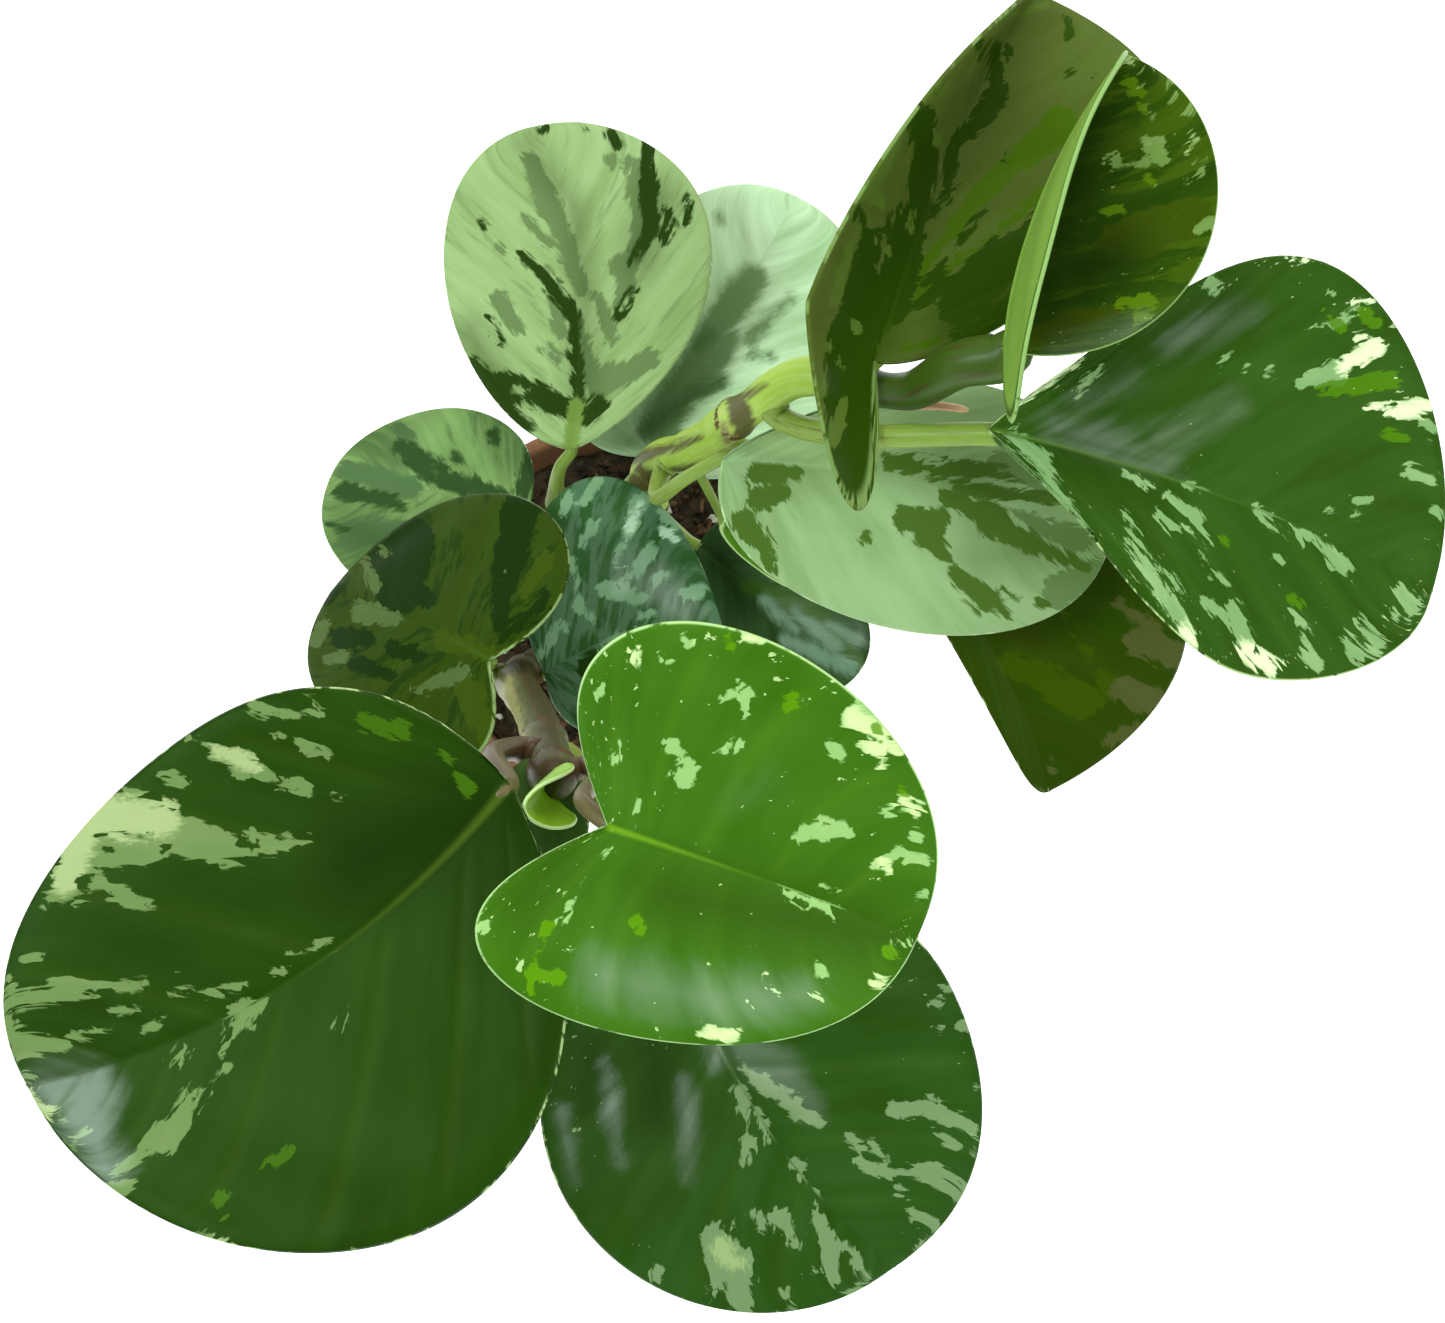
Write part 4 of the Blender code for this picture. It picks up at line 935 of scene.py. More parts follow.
makeLeaf({
    "name": "leaf_right_large", "detail": "near", "slot": "leaf_dark", "seed": 11,
    "base": (71, -28, 238.5), "heading": -17, "rise": -8, "roll": 11,
    "length": 84, "halfLeft": 48.5, "halfRight": 33, "bend": 0.03, "widest": 0.38,
    "lobeLeft": -0.22, "lobeRight": -0.3, "taperLeft": 0.36, "taperRight": 0.49,
    "foldLeft": 7, "foldRight": 11, "droop": -6,
    "stem": "stem_right", "stalk": [(38, -14.5, 214), (43, -18, 219), (53, -23.5, 227.5)],
    "stalkRadius": 2.3, "stalkEnd": 2.1,
    "paintedShade": [(1060, 450, 1150, 500, 12, 12), (1090, 350, 1230, 300, 18, 14)],
    "cream": [(1345, 364, 1374, 346, 10, 11), (1354, 340, 1366, 336, 6, 5), (1350, 300, 1364, 300, 5, 5),
              (1372, 408, 1400, 410, 3, 8), (1400, 410, 1428, 408, 9, 7), (1180, 630, 1190, 645, 4, 5),
              (1245, 650, 1272, 668, 9, 8), (1016, 394, 1072, 360, 11, 8), (1290, 262, 1310, 262, 2, 2)],
    # The pale strokes from (1012, 436) to (1096, 552) are a painted highlight: the curled basal margin
    # lighter where light catches it.
    "pale": [(1300, 382, 1338, 370, 5, 11), (1310, 323, 1330, 322, 5, 3), (1332, 325, 1358, 306, 3, 4),
             (1012, 436, 1040, 462, 6, 7), (1040, 462, 1068, 508, 7, 4), (1068, 508, 1096, 552, 4, 2),
             (1330, 294, 1336, 296, 2, 3), (1425, 425, 1432, 432, 7, 6), (1408, 472, 1430, 480, 7, 7),
             (1355, 500, 1372, 500, 6, 4), (1328, 512, 1333, 512, 3, 3), (1352, 514, 1358, 514, 2, 2),
             (1434, 512, 1438, 515, 4, 4), (1257, 511, 1300, 540, 3, 4), (1304, 540, 1345, 566, 6, 7),
             (1125, 512, 1134, 545, 2, 4), (1131, 542, 1160, 590, 5, 4), (1160, 590, 1190, 642, 5, 7),
             (1150, 552, 1178, 595, 2, 2), (1168, 499, 1182, 511, 2, 3), (1159, 516, 1175, 531, 4, 4),
             (1193, 513, 1206, 545, 4, 4), (1186, 530, 1203, 543, 3, 3), (1197, 552, 1204, 562, 3, 2),
             (1216, 576, 1224, 579, 4, 4), (1205, 603, 1226, 620, 4, 8), (1230, 612, 1245, 642, 8, 12),
             (1290, 612, 1301, 627, 3, 4), (1302, 632, 1316, 664, 4, 4), (1344, 636, 1356, 658, 3, 5),
             (1356, 622, 1376, 646, 3, 8), (1398, 590, 1410, 608, 3, 8), (1394, 610, 1396, 616, 2, 2),
             (1124, 475, 1146, 486, 2, 2), (1185, 485, 1202, 491, 2, 4), (1210, 283, 1214, 292, 5, 4),
             (1076, 392, 1100, 370, 3, 3), (1218, 362, 1234, 350, 3, 3), (1245, 370, 1248, 366, 2, 2),
             (1263, 376, 1270, 373, 2, 2), (1277, 557, 1281, 562, 2, 2), (1418, 600, 1408, 618, 3, 3)],
    "lime": [(1318, 392, 1390, 380, 5, 8), (1322, 312, 1340, 330, 4, 4), (1362, 312, 1375, 326, 7, 5),
             (1388, 434, 1402, 438, 6, 5), (1222, 540, 1224, 542, 3, 3), (1290, 600, 1300, 606, 4, 3)],
    "sheen": [(1055, 428, 1100, 440, 8, 14), (1100, 440, 1165, 462, 14, 10), (1160, 440, 1230, 405, 12, 8),
              (1080, 400, 1130, 378, 6, 5), (1170, 345, 1250, 315, 5, 5)],
    "look": {"ground": (0.018, 0.058, 0.0025), "groundAlt": (0.028, 0.082, 0.008), "flecks": 0.4,
             "ribShare": 0.85, "ribWide": 1.4,
             "deep": (0.014, 0.046, 0.001), "cream": (0.68, 0.78, 0.45), "grey": (0.18, 0.32, 0.12),
             "rimShare": 0.4, "ribColour": (0.07, 0.15, 0.02), "ribFade": 0.6, "lime": (0.06, 0.17, 0.002)}})

makeLeaf({
    "name": "leaf_right_pale", "detail": "near", "slot": "leaf_pale", "seed": 12,
    "base": (25.5, -15.5, 202.5), "heading": -10, "rise": -8, "roll": 35,
    "length": 78, "halfLeft": 26, "halfRight": 30, "bend": 0.05, "widest": 0.49,
    "lobeLeft": -0.3, "lobeRight": 0.03, "taper": 0.12, "foldLeft": -36, "foldRight": 5, "droop": 1,
    "stem": "stem_right", "stalk": [(10, -4, 164), (12, -12, 178), (18, -15, 193)],
    "mid": [(1015, 512, 1075, 540, 4, 14), (1060, 590, 1095, 570, 16, 12), (1000, 462, 1060, 490, 12, 10)],
    "deep": [(756, 474, 793, 474, 11, 8), (762, 498, 782, 492, 15, 8), (744, 522, 764, 544, 13, 10),
             (765, 558, 772, 572, 7, 4), (902, 520, 936, 520, 13, 14), (925, 536, 945, 556, 12, 9),
             (952, 572, 985, 600, 9, 13), (985, 600, 1008, 614, 11, 4), (1002, 588, 1020, 598, 2, 2),
             (942, 497, 1000, 518, 7, 12), (988, 524, 1030, 542, 12, 8), (1030, 544, 1084, 566, 8, 6),
             (890, 462, 1000, 478, 8, 12), (960, 490, 1060, 500, 10, 4), (1000, 480, 1050, 500, 8, 4),
             (864, 537, 867, 541, 3, 3), (1038, 602, 1044, 604, 3, 3), (885, 472, 1040, 488, -2, -3),
             (918, 456, 940, 461, -7, -5), (1000, 470, 1030, 472, -4, -4)],
    "paintedShade": [(980, 560, 1090, 540, 20, 26), (780, 470, 980, 480, 10, 8)],
    "look": {"ground": (0.29, 0.42, 0.205), "groundAlt": (0.21, 0.32, 0.135), "deep": (0.06, 0.12, 0.016),
             "mid": (0.13, 0.21, 0.075), "ribColour": (0.3, 0.45, 0.2), "rimColour": (0.5, 0.68, 0.38),
             "soft": 0.3, "ragged": 3.0, "paintedShadeShare": 0.5,
             "streaks": 0.1, "streakColour": (0.2, 0.33, 0.13)}})

makeLeaf({
    "name": "leaf_right_low", "detail": "far", "slot": "leaf_dark", "seed": 13,
    "base": (59, -17.5, 181.5), "heading": -55.5, "rise": -24, "roll": 17.5,
    "length": 69, "halfLeft": 40.5, "halfRight": 7, "bend": 0.07, "widest": 0.58,
    "lobeLeft": 0.06, "lobeRight": 0.13, "taper": 0.09, "foldLeft": 11, "foldRight": 8, "droop": -6,
    "stem": "stem_right", "stalk": [(28, -4, 187), (38, -7, 181), (49, -12, 180)],
    "mid": [(1060, 605, 1112, 690, 3, 6), (1010, 660, 1080, 700, 12, 20)],
    "pale": [(1120, 602, 1150, 628, 7, 12), (1140, 640, 1170, 650, 14, 16), (1125, 690, 1150, 700, 12, 12),
             (1110, 740, 1130, 730, 6, 8), (1050, 760, 1052, 770, 2, 2), (1142, 662, 1146, 668, -7, -7),
             (1126, 667, 1128, 669, -4, -4)],
    "look": {"ground": (0.018, 0.046, 0.0004), "groundAlt": (0.026, 0.045, 0.0008),
             "mid": (0.034, 0.066, 0.0004), "grey": (0.065, 0.076, 0.018), "cream": (0.1, 0.12, 0.04),
             "soft": 0.5, "ribShare": 0.1}})

makeLeaf({
    "name": "leaf_centre_dark", "detail": "far", "slot": "leaf_dark", "seed": 14,
    "base": (20, -2.5, 132), "heading": -37, "rise": -12, "roll": 16,
    "length": 48, "halfLeft": 17, "halfRight": 19.5, "bend": -0.01, "widest": 0.52,
    "lobeLeft": 0.12, "lobeRight": 0.12, "taper": 0.1, "foldLeft": 4, "foldRight": 4, "droop": 0,
    "stem": "stem_right", "stalk": [(14, 5, 125), (17.5, 0, 129)],
    # The pale and mid strokes here are a painted reflection: a soft greyish blue sheen band across the dark
    # leaf, in the grey and cream colours below.
    "pale": [(765, 600, 795, 630, 6, 5), (785, 640, 850, 668, 6, 8), (760, 560, 775, 575, 4, 4),
             (795, 612, 835, 645, 4, 9), (830, 625, 856, 640, 5, 6)],
    "mid": [(745, 585, 810, 610, 8, 10), (810, 610, 852, 660, 12, 12)],
    "sheen": [(790, 605, 850, 640, 14, 16)],
    "paintedShade": [(720, 560, 740, 600, 14, 14), (760, 655, 800, 680, 10, 8)],
    "look": {"ground": (0.012, 0.032, 0.006), "groundAlt": (0.035, 0.075, 0.03), "grey": (0.11, 0.18, 0.12),
             "cream": (0.22, 0.36, 0.24), "soft": 1.4, "ribShare": 0.1, "deep": (0.003, 0.012, 0.0005),
             "ragged": 2.0}})

makeLeaf({
    "name": "leaf_small_right", "detail": "far", "slot": "leaf_bright", "seed": 15,
    "base": (25.5, -16, 174), "heading": -35, "rise": -12, "roll": 16,
    "length": 23, "halfLeft": 8, "halfRight": 3.5, "bend": 0, "widest": 0.52,
    "lobeLeft": 0.12, "lobeRight": 0.1, "taper": 0.11, "foldLeft": 8, "foldRight": 8, "droop": 0,
    "stem": "stem_right", "stalk": [(22, -4, 168), (25, -12, 170)],
    "look": {"ground": (0.06, 0.16, 0.01), "groundAlt": (0.1, 0.22, 0.02), "rimShare": 0.9}})

# The shoot's two youngest leaves, which are part of the front stem's node.
buds = [
    {"name": "bud_low", "detail": "far", "base": (-0.5, -90, 248), "heading": -104, "rise": -12, "roll": 4,
     "length": 22, "halfLeft": 8.5, "halfRight": 8.5, "bend": 0, "widest": 0.5, "lobeLeft": 0.1,
     "lobeRight": 0.1, "taper": 0.1, "foldLeft": 8, "foldRight": 8, "droop": 0, "seed": 16,
     "look": {"ground": (0.055, 0.12, 0.025), "groundAlt": (0.08, 0.15, 0.04)}},
    {"name": "bud_cupped", "detail": "far", "base": (-0.5, -95, 253), "heading": 255, "rise": 60, "roll": -75,
     "length": 15, "halfLeft": 8, "halfRight": 8, "bend": 0, "widest": 0.5, "lobeLeft": 0,
     "lobeRight": 0, "taper": 0.1, "foldLeft": 30, "foldRight": 30, "curlLeft": 60, "curlRight": 60,
     "droop": 0, "seed": 17, "lip": 0.1, "wavy": 0.2,
     "look": {"ground": (0.16, 0.33, 0.004), "groundAlt": (0.2, 0.38, 0.01), "under": (0.3, 0.5, 0.1),
              "rimColour": (0.5, 0.68, 0.3), "rimShare": 0.9, "underShare": 0.8}}]


def makeBuds():
    for bud in buds:
        mesh = makeBlade(bud)
        newPiece(bud["name"], mesh, leafMaterial(bud), ["stem_front"])
    print("buds made")


makeBuds()

# Where stalks leave a stem it swells into a node, with a brown sheath. Places are mm along the stem, and the
# strokes of flushed red and of cream are in the photograph's pixels like the marbling.
stemLooks = {
    "stem_front": {
        "nodes": (52, 74, 95, 178, 206), "green": (0.05, 0.062, 0.012), "pale": (0.1, 0.1, 0.03),
        "flush": [(538, 685, 552, 745, 14, 10), (520, 762, 575, 772, 14, 10), (515, 640, 530, 680, 8, 8)],
        "cream": [(500, 672, 520, 740, 10, 7), (520, 790, 525, 800, 6, 6)]},
    "stem_right": {
        "nodes": (30, 58, 139, 170), "green": (0.3, 0.44, 0.055), "pale": (0.36, 0.48, 0.1),
        "flush": [(636, 484, 718, 466, 11, 6), (632, 460, 700, 438, 7, 3), (736, 398, 748, 440, 10, 12),
                  (752, 432, 785, 436, 8, 5), (738, 400, 765, 384, 6, 3), (860, 385, 903, 408, 14, 14),
                  (655, 488, 640, 470, 6, 6)],
        "cream": [(722, 425, 728, 440, 4, 6)]},
    "stem_back": {
        "nodes": (26, 44), "green": (0.2, 0.3, 0.06), "pale": (0.3, 0.38, 0.12), "flush": [], "cream": []}}
bark = {
    "cream": (0.24, 0.22, 0.08),
    "red": (0.055, 0.035, 0.011),
    "sheathDark": (0.035, 0.018, 0.008),
    "sheathLight": (0.11, 0.06, 0.02),
    "swelling": 0.13,           # how much wider a stem is at a node
    "nodeLength": 2.2,
    "uneven": 0.12,
    "unevenLength": 17,
    "sides": 36,
    "step": 0.8,
    "ending": (0.98, 0.9, 0.72, 0.42)}


def stemMaterial(name, look):
    material, tree, shader = newMaterial(name, {"Coat Weight": 0.04, "Coat Roughness": 0.3,
                                                "Specular IOR Level": 0.12})
    place = attribute(tree, "tubePlace", "Vector")
    streak = noise(stretched(place, (0.1, 1.0, 1.0)), 0.75, 5, 0.65)
    mottle = noise(stretched(place, (0.5, 1.0, 1.0)), 0.7, 4, 0.6)
    colour = streak.rise(0.35, 0.65).tint(look["green"], look["pale"])
    cream = (attribute(tree, "cream") + (mottle - 0.5) * 3).rise(-0.7, 0.7)
    colour = cream.tint(colour, bark["cream"])
    red = (attribute(tree, "flush") + (streak - 0.5) * 4).rise(-0.8, 0.8)
    colour = (red * 0.9).tint(colour, bark["red"])
    sheath = (attribute(tree, "nearNode") + (mottle - 0.5) * 3.0).rise(0.7, 1.0)
    colour = sheath.tint(colour, mottle.rise(0.4, 0.6).tint(bark["sheathDark"], bark["sheathLight"]))
    plug(tree, colour, shader, "Base Color")
    plug(tree, 0.4 + sheath * 0.35, shader, "Roughness")
    plug(tree, bumpOf(streak + mottle * sheath * 1.5, 0.0004, 0.6), shader, "Normal")
    return material


def makeStems():
    for name, stem in stems.items():
        look = stemLooks[name]
        path, run = evenPath(smoothPath(stem["path"], 10), bark["step"])
        share = run / run[-1]
        radius = stem["foot"] + (stem["end"] - stem["foot"]) * share
        near = np.zeros(len(run))
        for place in look["nodes"]:
            near = np.maximum(near, np.exp(-((run - place) / bark["nodeLength"]) ** 2))
        rough = unevenness(run[:, None], bark["unevenLength"], stem["seed"])
        radius = radius * (1 + bark["swelling"] * near) + bark["uneven"] * rough
        radius[-4:] *= np.array(bark["ending"])
        drawn = {"flush": look["flush"], "cream": look["cream"]}
        mesh = makeTube(name, path, radius, bark["sides"], {"nearNode": near}, drawn)
        newPiece(name + "_bark", mesh, stemMaterial(name, look), [name])
    print("stems made")


makeStems()

dryStalk = {
    "path": [(54, -14.5, 226), (58.4, -16.3, 226), (64.3, -18.3, 229), (68.7, -20.7, 232)],
    "radius": 0.95,
    "thinning": 0.3,
    "low": (0.4, 0.2, 0.11),
    "high": (0.46, 0.28, 0.15),
    "flush": (0.3, 0.14, 0.08),
    "sides": 16,
    "step": 0.5,
    "ending": (0.9, 0.75, 0.5)}


# The dry end of an old stalk, which stays on the right stem behind the large leaf's stalk.
def makeDryStalk():
    path, run = evenPath(smoothPath(dryStalk["path"], 8), dryStalk["step"])
    share = run / run[-1]
    radius = dryStalk["radius"] - dryStalk["thinning"] * share
    radius[-3:] *= np.array(dryStalk["ending"])
    mesh = makeTube("dry_stalk", path, radius, dryStalk["sides"], {"share": share})
    material = stalkMaterial("stalk_dry", dryStalk["low"], dryStalk["high"], dryStalk["flush"])
    newPiece("dry_stalk", mesh, material, ["stem_right"])
    print("dry stalk made")


makeDryStalk()

pot = {
    "height": 92, "rimRadius": 53, "bandHeight": 18, "bandStep": 3, "baseRadius": 37, "wall": 4.5,
    "floor": 6, "sides": 160, "drainRadius": 3.5, "drainRing": 17, "drains": 3, "drainSides": 32,
    "past": 2,              # how far a drain's cutter reaches past the floor's two sides
    "uneven": 0.22, "unevenLength": 55, "step": 2.5, "arcSteps": 5, "seed": 21,
    "red": (0.2, 0.085, 0.045), "orange": (0.3, 0.13, 0.07), "speck": (0.4, 0.24, 0.15),
    "bloom": (0.72, 0.6, 0.5)}


def potOuter(height):
    share = height / (pot["height"] - pot["bandHeight"])
    return pot["baseRadius"] + (pot["rimRadius"] - pot["bandStep"] - pot["baseRadius"]) * share


# A profile from corners of radius, height and how far back the corner's rounding starts. A rounding is the
# quadratic curve between its two ends, drawn towards the corner.
def roundedProfile(corners):
    points = []
    for index, (radius, height, bend) in enumerate(corners):
        here = np.array([radius, height], float)
        if bend == 0:
            points.append(here)
            continue
        before = np.array(corners[index - 1][:2], float) - here
        after = np.array(corners[index + 1][:2], float) - here
        first = here + before / np.linalg.norm(before) * bend
        last = here + after / np.linalg.norm(after) * bend
        share = np.linspace(0, 1, pot["arcSteps"])[:, None]
        points.extend((1 - share) ** 2 * first + 2 * share * (1 - share) * here + share ** 2 * last)
    return np.array(points)


# The profile with points added at even steps along it.
def filledProfile(profile, step):
    run = runAlong(profile)
    places = np.unique(np.concatenate([run, np.arange(0, run[-1], step)]).round(3))
    return np.stack([np.interp(places, run, profile[:, 0]), np.interp(places, run, profile[:, 1])], -1)


# The profile turned round the pot's axis, with a slight hand-made unevenness in its radius that fades out
# towards the axis.
def turnedSkin(name, profile):
    angle = turnAngles(pot["sides"])
    radius = profile[:, 0, None] * np.ones(pot["sides"])
    height = profile[:, 1, None] * np.ones(pot["sides"])
    around = np.stack([np.cos(angle) * 40 + 0 * height, np.sin(angle) * 40 + 0 * height, height], -1)
    rough = unevenness(around, pot["unevenLength"], pot["seed"])
    radius = radius + pot["uneven"] * rough * np.clip(radius / 20, 0, 1)
    grid = np.stack([radius * np.cos(angle), radius * np.sin(angle), height], -1)
    return closedGrid(name, grid[1:-1], grid[0, 0], grid[-1, 0])


def applied(piece):
    mesh = bpy.data.meshes.new_from_object(piece.evaluated_get(bpy.context.evaluated_depsgraph_get()))
    piece.modifiers.clear()
    piece.data = mesh
    mesh.shade_smooth()


def clayMaterial():
    material, tree, shader = newMaterial("clay", {"Specular IOR Level": 0.25})
    body = objectPlace(tree)
    blotch = noise(body, 28.0, 5, 0.6)
    grain = noise(body, 900.0, 3, 0.6)
    rings = noise(stretched(body, (4.0, 4.0, 260.0)), 1.0, 3, 0.5)
    height = body.node("ShaderNodeSeparateXYZ", {}, {"Vector": body}, "Z")
    colour = blotch.rise(0.3, 0.7).tint(pot["red"], pot["orange"])
    colour = (grain.rise(0.55, 0.75) * 0.35).tint(colour, pot["speck"])
    bloom = (noise(body, 75.0, 5, 0.7) + (1 - height.rise(0.0, 0.03)) * 0.12).rise(0.58, 0.75)
    colour = (bloom * 0.45).tint(colour, pot["bloom"])
    plug(tree, colour, shader, "Base Color")
    plug(tree, 0.78 + blotch * 0.15, shader, "Roughness")
    plug(tree, bumpOf(grain * 0.5 + rings * 0.8, 0.0006, 0.5), shader, "Normal")
    return material


def makePot():
    foot = pot["height"] - pot["bandHeight"]
    rim = pot["rimRadius"]
    inner = potOuter(pot["height"]) - pot["wall"]
    innerFloor = potOuter(pot["floor"]) - pot["wall"]
    corners = [(0, 0, 0), (pot["baseRadius"], 0, 1.2), (potOuter(foot), foot, 0.8),
               (rim - 0.6, foot + 0.6, 0.5), (rim, foot + 2.5, 1), (rim, pot["height"], 2.2),
               (inner, pot["height"], 1.8), (innerFloor, pot["floor"], 2), (0, pot["floor"], 0)]
    profile = filledProfile(roundedProfile(corners), pot["step"])
    piece = newPiece("pot_wall", turnedSkin("pot", profile), clayMaterial(), ["pot"])
    for index in range(pot["drains"]):
        angle = 2 * np.pi * (index + 0.25) / pot["drains"]
        middle = pot["drainRing"] * np.array([np.cos(angle), np.sin(angle), 0])
        heights = (-pot["past"], pot["floor"] / 2, pot["floor"] + pot["past"])
        path = middle + np.array([[0, 0, height] for height in heights])
        cutterMesh = makeTube("drain", path, np.full(3, float(pot["drainRadius"])), pot["drainSides"])
        cutter = linked("drain", cutterMesh)
        cut = piece.modifiers.new("drain", "BOOLEAN")
        cut.operation = "DIFFERENCE"
        cut.object = cutter
        applied(piece)
        bpy.data.objects.remove(cutter)
    print("pot made")


makePot()

soil = {
    "top": 84,
    "rise": 2,              # how much higher its middle is
    "riseReach": 50,
    "clods": [(0.8, 16, 31, 9), (0.5, 6, 32, 14)],      # height, length, seed and number of waves
    "sides": 144,
    "rings": 60,
    "gap": 0.35,            # to the pot's wall and floor
    "hole": 1.2,            # radius of the innermost ring
    "dark": (0.018, 0.011, 0.007),
    "brown": (0.075, 0.045, 0.026),
    "sand": (0.16, 0.11, 0.07)}


def soilMaterial():
    material, tree, shader = newMaterial("soil", {"Specular IOR Level": 0.2})
    body = objectPlace(tree)
    clods = noise(body, 160.0, 5, 0.7)
    grain = noise(body, 700.0, 3, 0.6)
    colour = clods.rise(0.35, 0.7).tint(soil["dark"], soil["brown"])
    colour = (grain.rise(0.62, 0.72) * 0.6).tint(colour, soil["sand"])
    plug(tree, colour, shader, "Base Color")
    plug(tree, 0.85 + grain * 0.1, shader, "Roughness")
    plug(tree, bumpOf(clods + grain * 0.4, 0.002, 0.8), shader, "Normal")
    return material


def barkMaterial(name, low, high):
    material, tree, shader = newMaterial(name, {"Specular IOR Level": 0.2, "Roughness": 0.85})
    body = objectPlace(tree)
    grain = noise(body, 420.0, 4, 0.6)
    plug(tree, grain.rise(0.35, 0.65).tint(low, high), shader, "Base Color")
    plug(tree, bumpOf(grain, 0.0006, 0.7), shader, "Normal")
    return material


crumbs = {
    "rows": 4,
    "columns": 7,
    "lumpy": (0.7, 1.25),           # a point's distance from the lump's middle
    "spread": 0.35,                 # of the lumps' sizes
    "sides": (0.6, 1.3),            # a lump's length, width and height
    "tip": 0.5,                     # how far lumps are tipped over, in radians
    "reach": 43,
    "raised": 0.25,                 # a lump's middle over the soil, as a share of its size and flatness
    # number, size, flatness and seed
    "soil_crumbs": (900, 1.1, 0.8, 41),
    "bark_bits": (130, 2.4, 0.45, 42),
    "perlite": (90, 1.2, 0.9, 43)}


# Many small uneven lumps at once: one rough ball of few faces, copied, stretched, turned and set on the soil.
def makeCrumbs(name, material):
    count, size, flat, seed = crumbs[name]
    draw = np.random.default_rng(seed)
    rows, columns = crumbs["rows"], crumbs["columns"]
    polar = np.linspace(0, np.pi, rows + 2)[1:-1, None]
    angle = turnAngles(columns)[None]
    ball = np.stack([np.sin(polar) * np.cos(angle), np.sin(polar) * np.sin(angle),
                     np.cos(polar) + 0 * angle], -1).reshape(-1, 3)
    ball = np.concatenate([ball, [[0, 0, 1], [0, 0, -1]]])
    here, after = ringNumbers(rows, columns)
    quads = np.stack([here[:-1], here[1:], after[1:], after[:-1]], -1).reshape(-1, 4)
    topFan = np.stack([np.full(columns, rows * columns), here[0], after[0]], -1)
    lowFan = np.stack([np.full(columns, rows * columns + 1), after[-1], here[-1]], -1)
    points = ball[None] * draw.uniform(*crumbs["lumpy"], (count, len(ball), 1))
    sizes = size * draw.lognormal(0, crumbs["spread"], (count, 1, 1))
    points = points * (sizes * draw.uniform(*crumbs["sides"], (count, 1, 3)))
    points[..., 2] *= flat
    turn = draw.uniform(0, 2 * np.pi, (count, 1))
    tip = draw.normal(0, crumbs["tip"], (count, 1))
    x, y, z = points[..., 0], points[..., 1], points[..., 2]
    y, z = y * np.cos(tip) - z * np.sin(tip), y * np.sin(tip) + z * np.cos(tip)
    x, y = x * np.cos(turn) - y * np.sin(turn), x * np.sin(turn) + y * np.cos(turn)
    far = crumbs["reach"] * np.sqrt(draw.uniform(0, 1, (count, 1)))
    way = draw.uniform(0, 2 * np.pi, (count, 1))
    placeX, placeY = far * np.cos(way), far * np.sin(way)
    lift = soilHeight(placeX, placeY) + size * flat * crumbs["raised"]
    points = np.stack([x + placeX, y + placeY, z + lift], -1)
    step = (np.arange(count) * len(ball))[:, None, None]
    faces = (quads + step).reshape(-1, 4).tolist()
    faces += (topFan + step).reshape(-1, 3).tolist() + (lowFan + step).reshape(-1, 3).tolist()
    mesh = bpy.data.meshes.new(name)
    mesh.from_pydata((points.reshape(-1, 3) * mm).tolist(), [], faces)
    newPiece(name, mesh, material, ["soil"])


# The soil's top is a low mound, a quarter of a cosine wave high, with clods on two scales.
def soilHeight(x, y):
    spot = np.stack([x, y], -1)
    share = np.clip(np.hypot(x, y) / soil["riseReach"], 0, 1)
    height = soil["top"] + soil["rise"] * np.cos(share * np.pi / 2)
    for high, length, seed, count in soil["clods"]:
        height = height + high * unevenness(spot, length, seed, count)
    return height


def makeSoil():
    floor = pot["floor"] + soil["gap"]
    wide = potOuter(soil["top"]) - pot["wall"] - soil["gap"]
    low = potOuter(pot["floor"]) - pot["wall"] - soil["gap"]
    radius = np.linspace(wide, soil["hole"], soil["rings"])[:, None]
    angle = turnAngles(soil["sides"])[None]
    x, y = radius * np.cos(angle), radius * np.sin(angle)
    top = np.stack([x, y, soilHeight(x, y)], -1)
    radius = np.array([low * 0.5, low])[:, None]
    x, y = radius * np.cos(angle), radius * np.sin(angle)
    under = np.stack([x, y, np.full(x.shape, floor)], -1)
    centre = np.array([0, 0, float(soilHeight(np.array(0.0), np.array(0.0)))])
    mesh = closedGrid("soil", np.concatenate([under, top]), np.array([0, 0, floor]), centre)
    newPiece("soil_bed", mesh, soilMaterial(), ["soil"])
    makeCrumbs("soil_crumbs", soilMaterial())
    makeCrumbs("bark_bits", barkMaterial("bark", (0.07, 0.035, 0.018), (0.17, 0.09, 0.05)))
    makeCrumbs("perlite", barkMaterial("perlite", (0.62, 0.6, 0.55), (0.8, 0.78, 0.74)))
    print("soil made")


makeSoil()

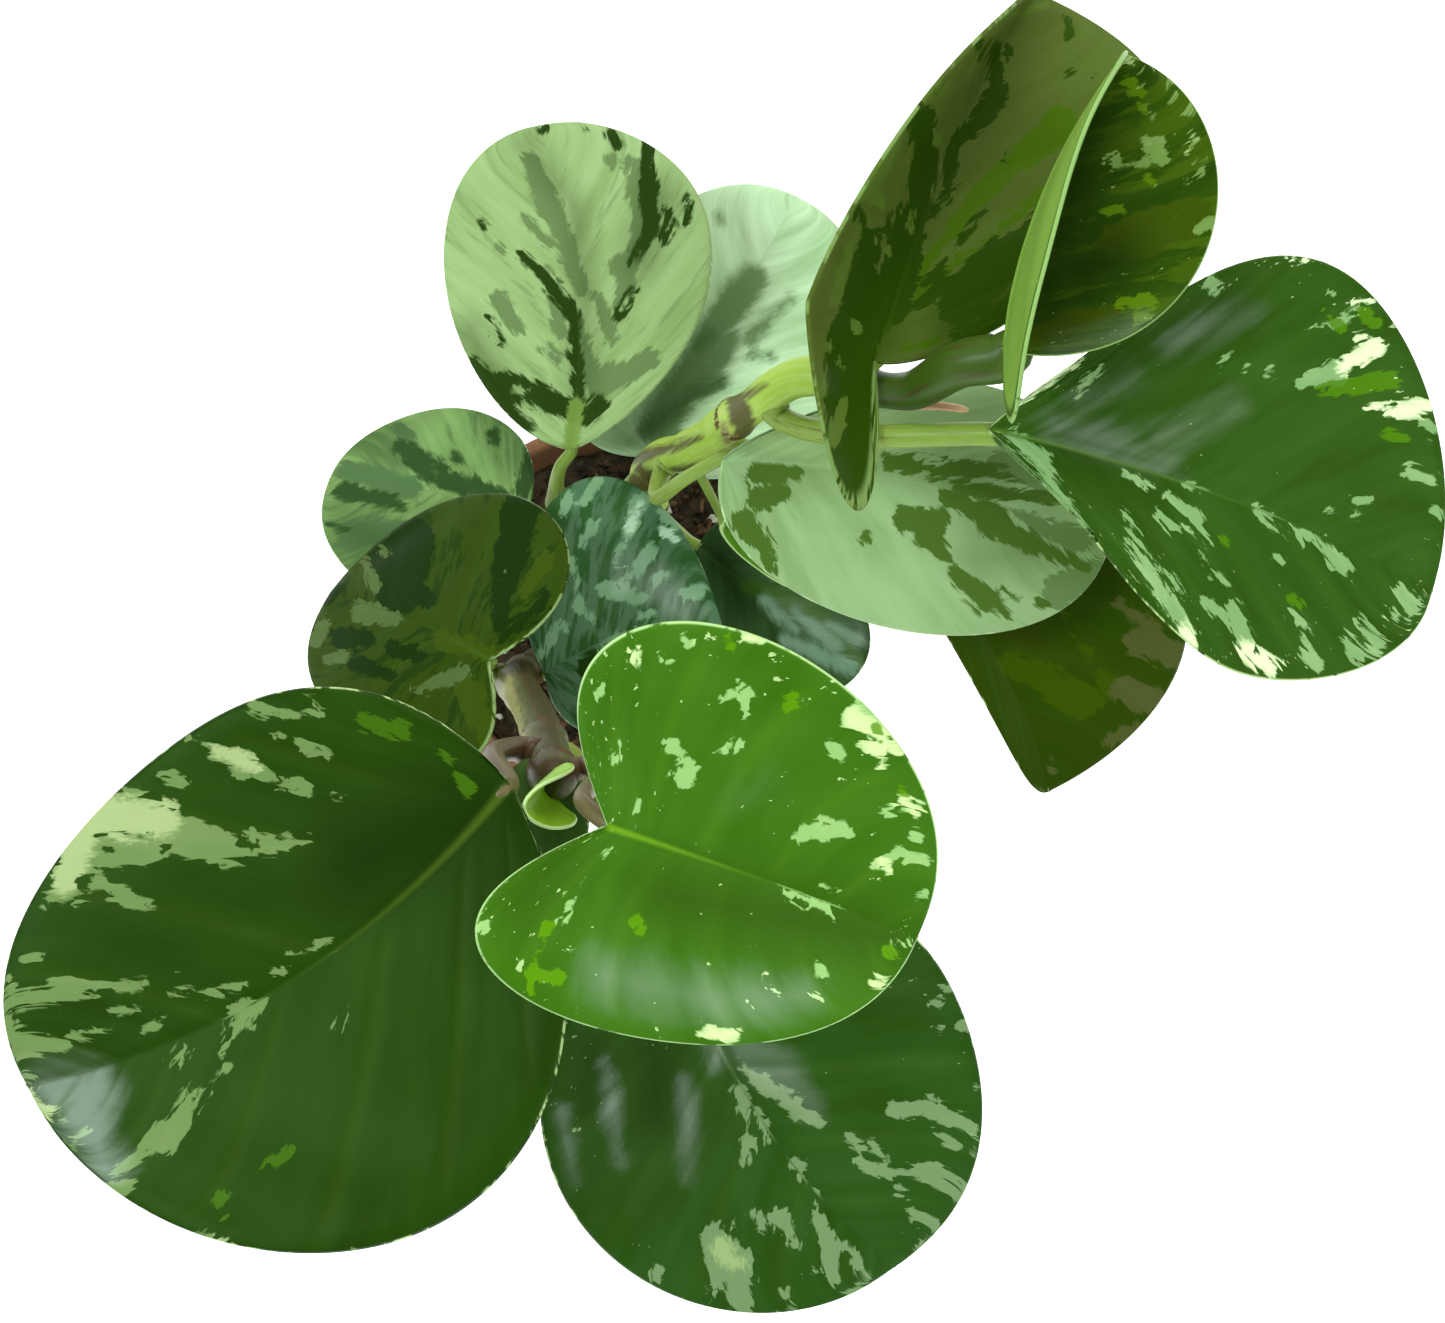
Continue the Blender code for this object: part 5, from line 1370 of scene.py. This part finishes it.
studio = {
    "floorColour": (0.9, 0.9, 0.9),
    "floorGlow": 0.6,
    "floorHalf": 6.0,
    "sky": 0.56,
    "aim": (0.03, -0.04, 0.2),
    "boxes": [              # azimuth goes from the back round to the right, and lengths are in metres
        {"name": "window_right", "azimuth": 138, "elevation": 54, "wide": 1.0, "high": 1.0, "away": 2.0,
         "bright": 6.5, "colour": (0.88, 1.0, 0.97)},
        {"name": "window_left", "azimuth": -104, "elevation": 46, "wide": 0.6, "high": 0.9, "away": 2.0,
         "bright": 13.0, "colour": (0.8, 1.0, 0.92)},
        {"name": "back", "azimuth": 10, "elevation": 48, "wide": 1.4, "high": 1.0, "away": 2.0,
         "bright": 5.0, "colour": (1.0, 0.99, 0.95)}]}


def makeFloor():
    mesh = bpy.data.meshes.new("floor")
    half = studio["floorHalf"]
    corners = [(-half, -half, 0), (half, -half, 0), (half, half, 0), (-half, half, 0)]
    mesh.from_pydata(corners, [], [(0, 1, 2, 3)])
    floor = linked("floor", mesh)
    material, tree, shader = newMaterial("floor", {
        "Base Color": (*studio["floorColour"], 1), "Roughness": 0.9, "Specular IOR Level": 0.1,
        "Emission Color": (1, 1, 1, 1), "Emission Strength": studio["floorGlow"]})
    mesh.materials.append(material)


# Each soft box faces the plant. Its power gives the brightness asked for over its area.
def makeLights():
    for box in studio["boxes"]:
        azimuth, elevation = np.radians(box["azimuth"]), np.radians(box["elevation"])
        way = Vector((np.sin(azimuth) * np.cos(elevation), np.cos(azimuth) * np.cos(elevation),
                      np.sin(elevation)))
        light = bpy.data.lights.new(box["name"], "AREA")
        light.shape = "RECTANGLE"
        light.size, light.size_y = box["wide"], box["high"]
        light.color = box["colour"]
        light.energy = box["bright"] * np.pi * box["wide"] * box["high"]
        lamp = linked(box["name"], light)
        lamp.location = Vector(studio["aim"]) + way * box["away"]
        lamp.rotation_euler = way.to_track_quat("Z", "Y").to_euler()
    world = bpy.data.worlds.new("sky")
    world.use_nodes = True
    world.node_tree.nodes["Background"].inputs["Color"].default_value = (1, 1, 1, 1)
    world.node_tree.nodes["Background"].inputs["Strength"].default_value = studio["sky"]
    bpy.context.scene.world = world
    bpy.context.scene.view_settings.view_transform = "Standard"


makeFloor()
makeLights()
print("studio made")
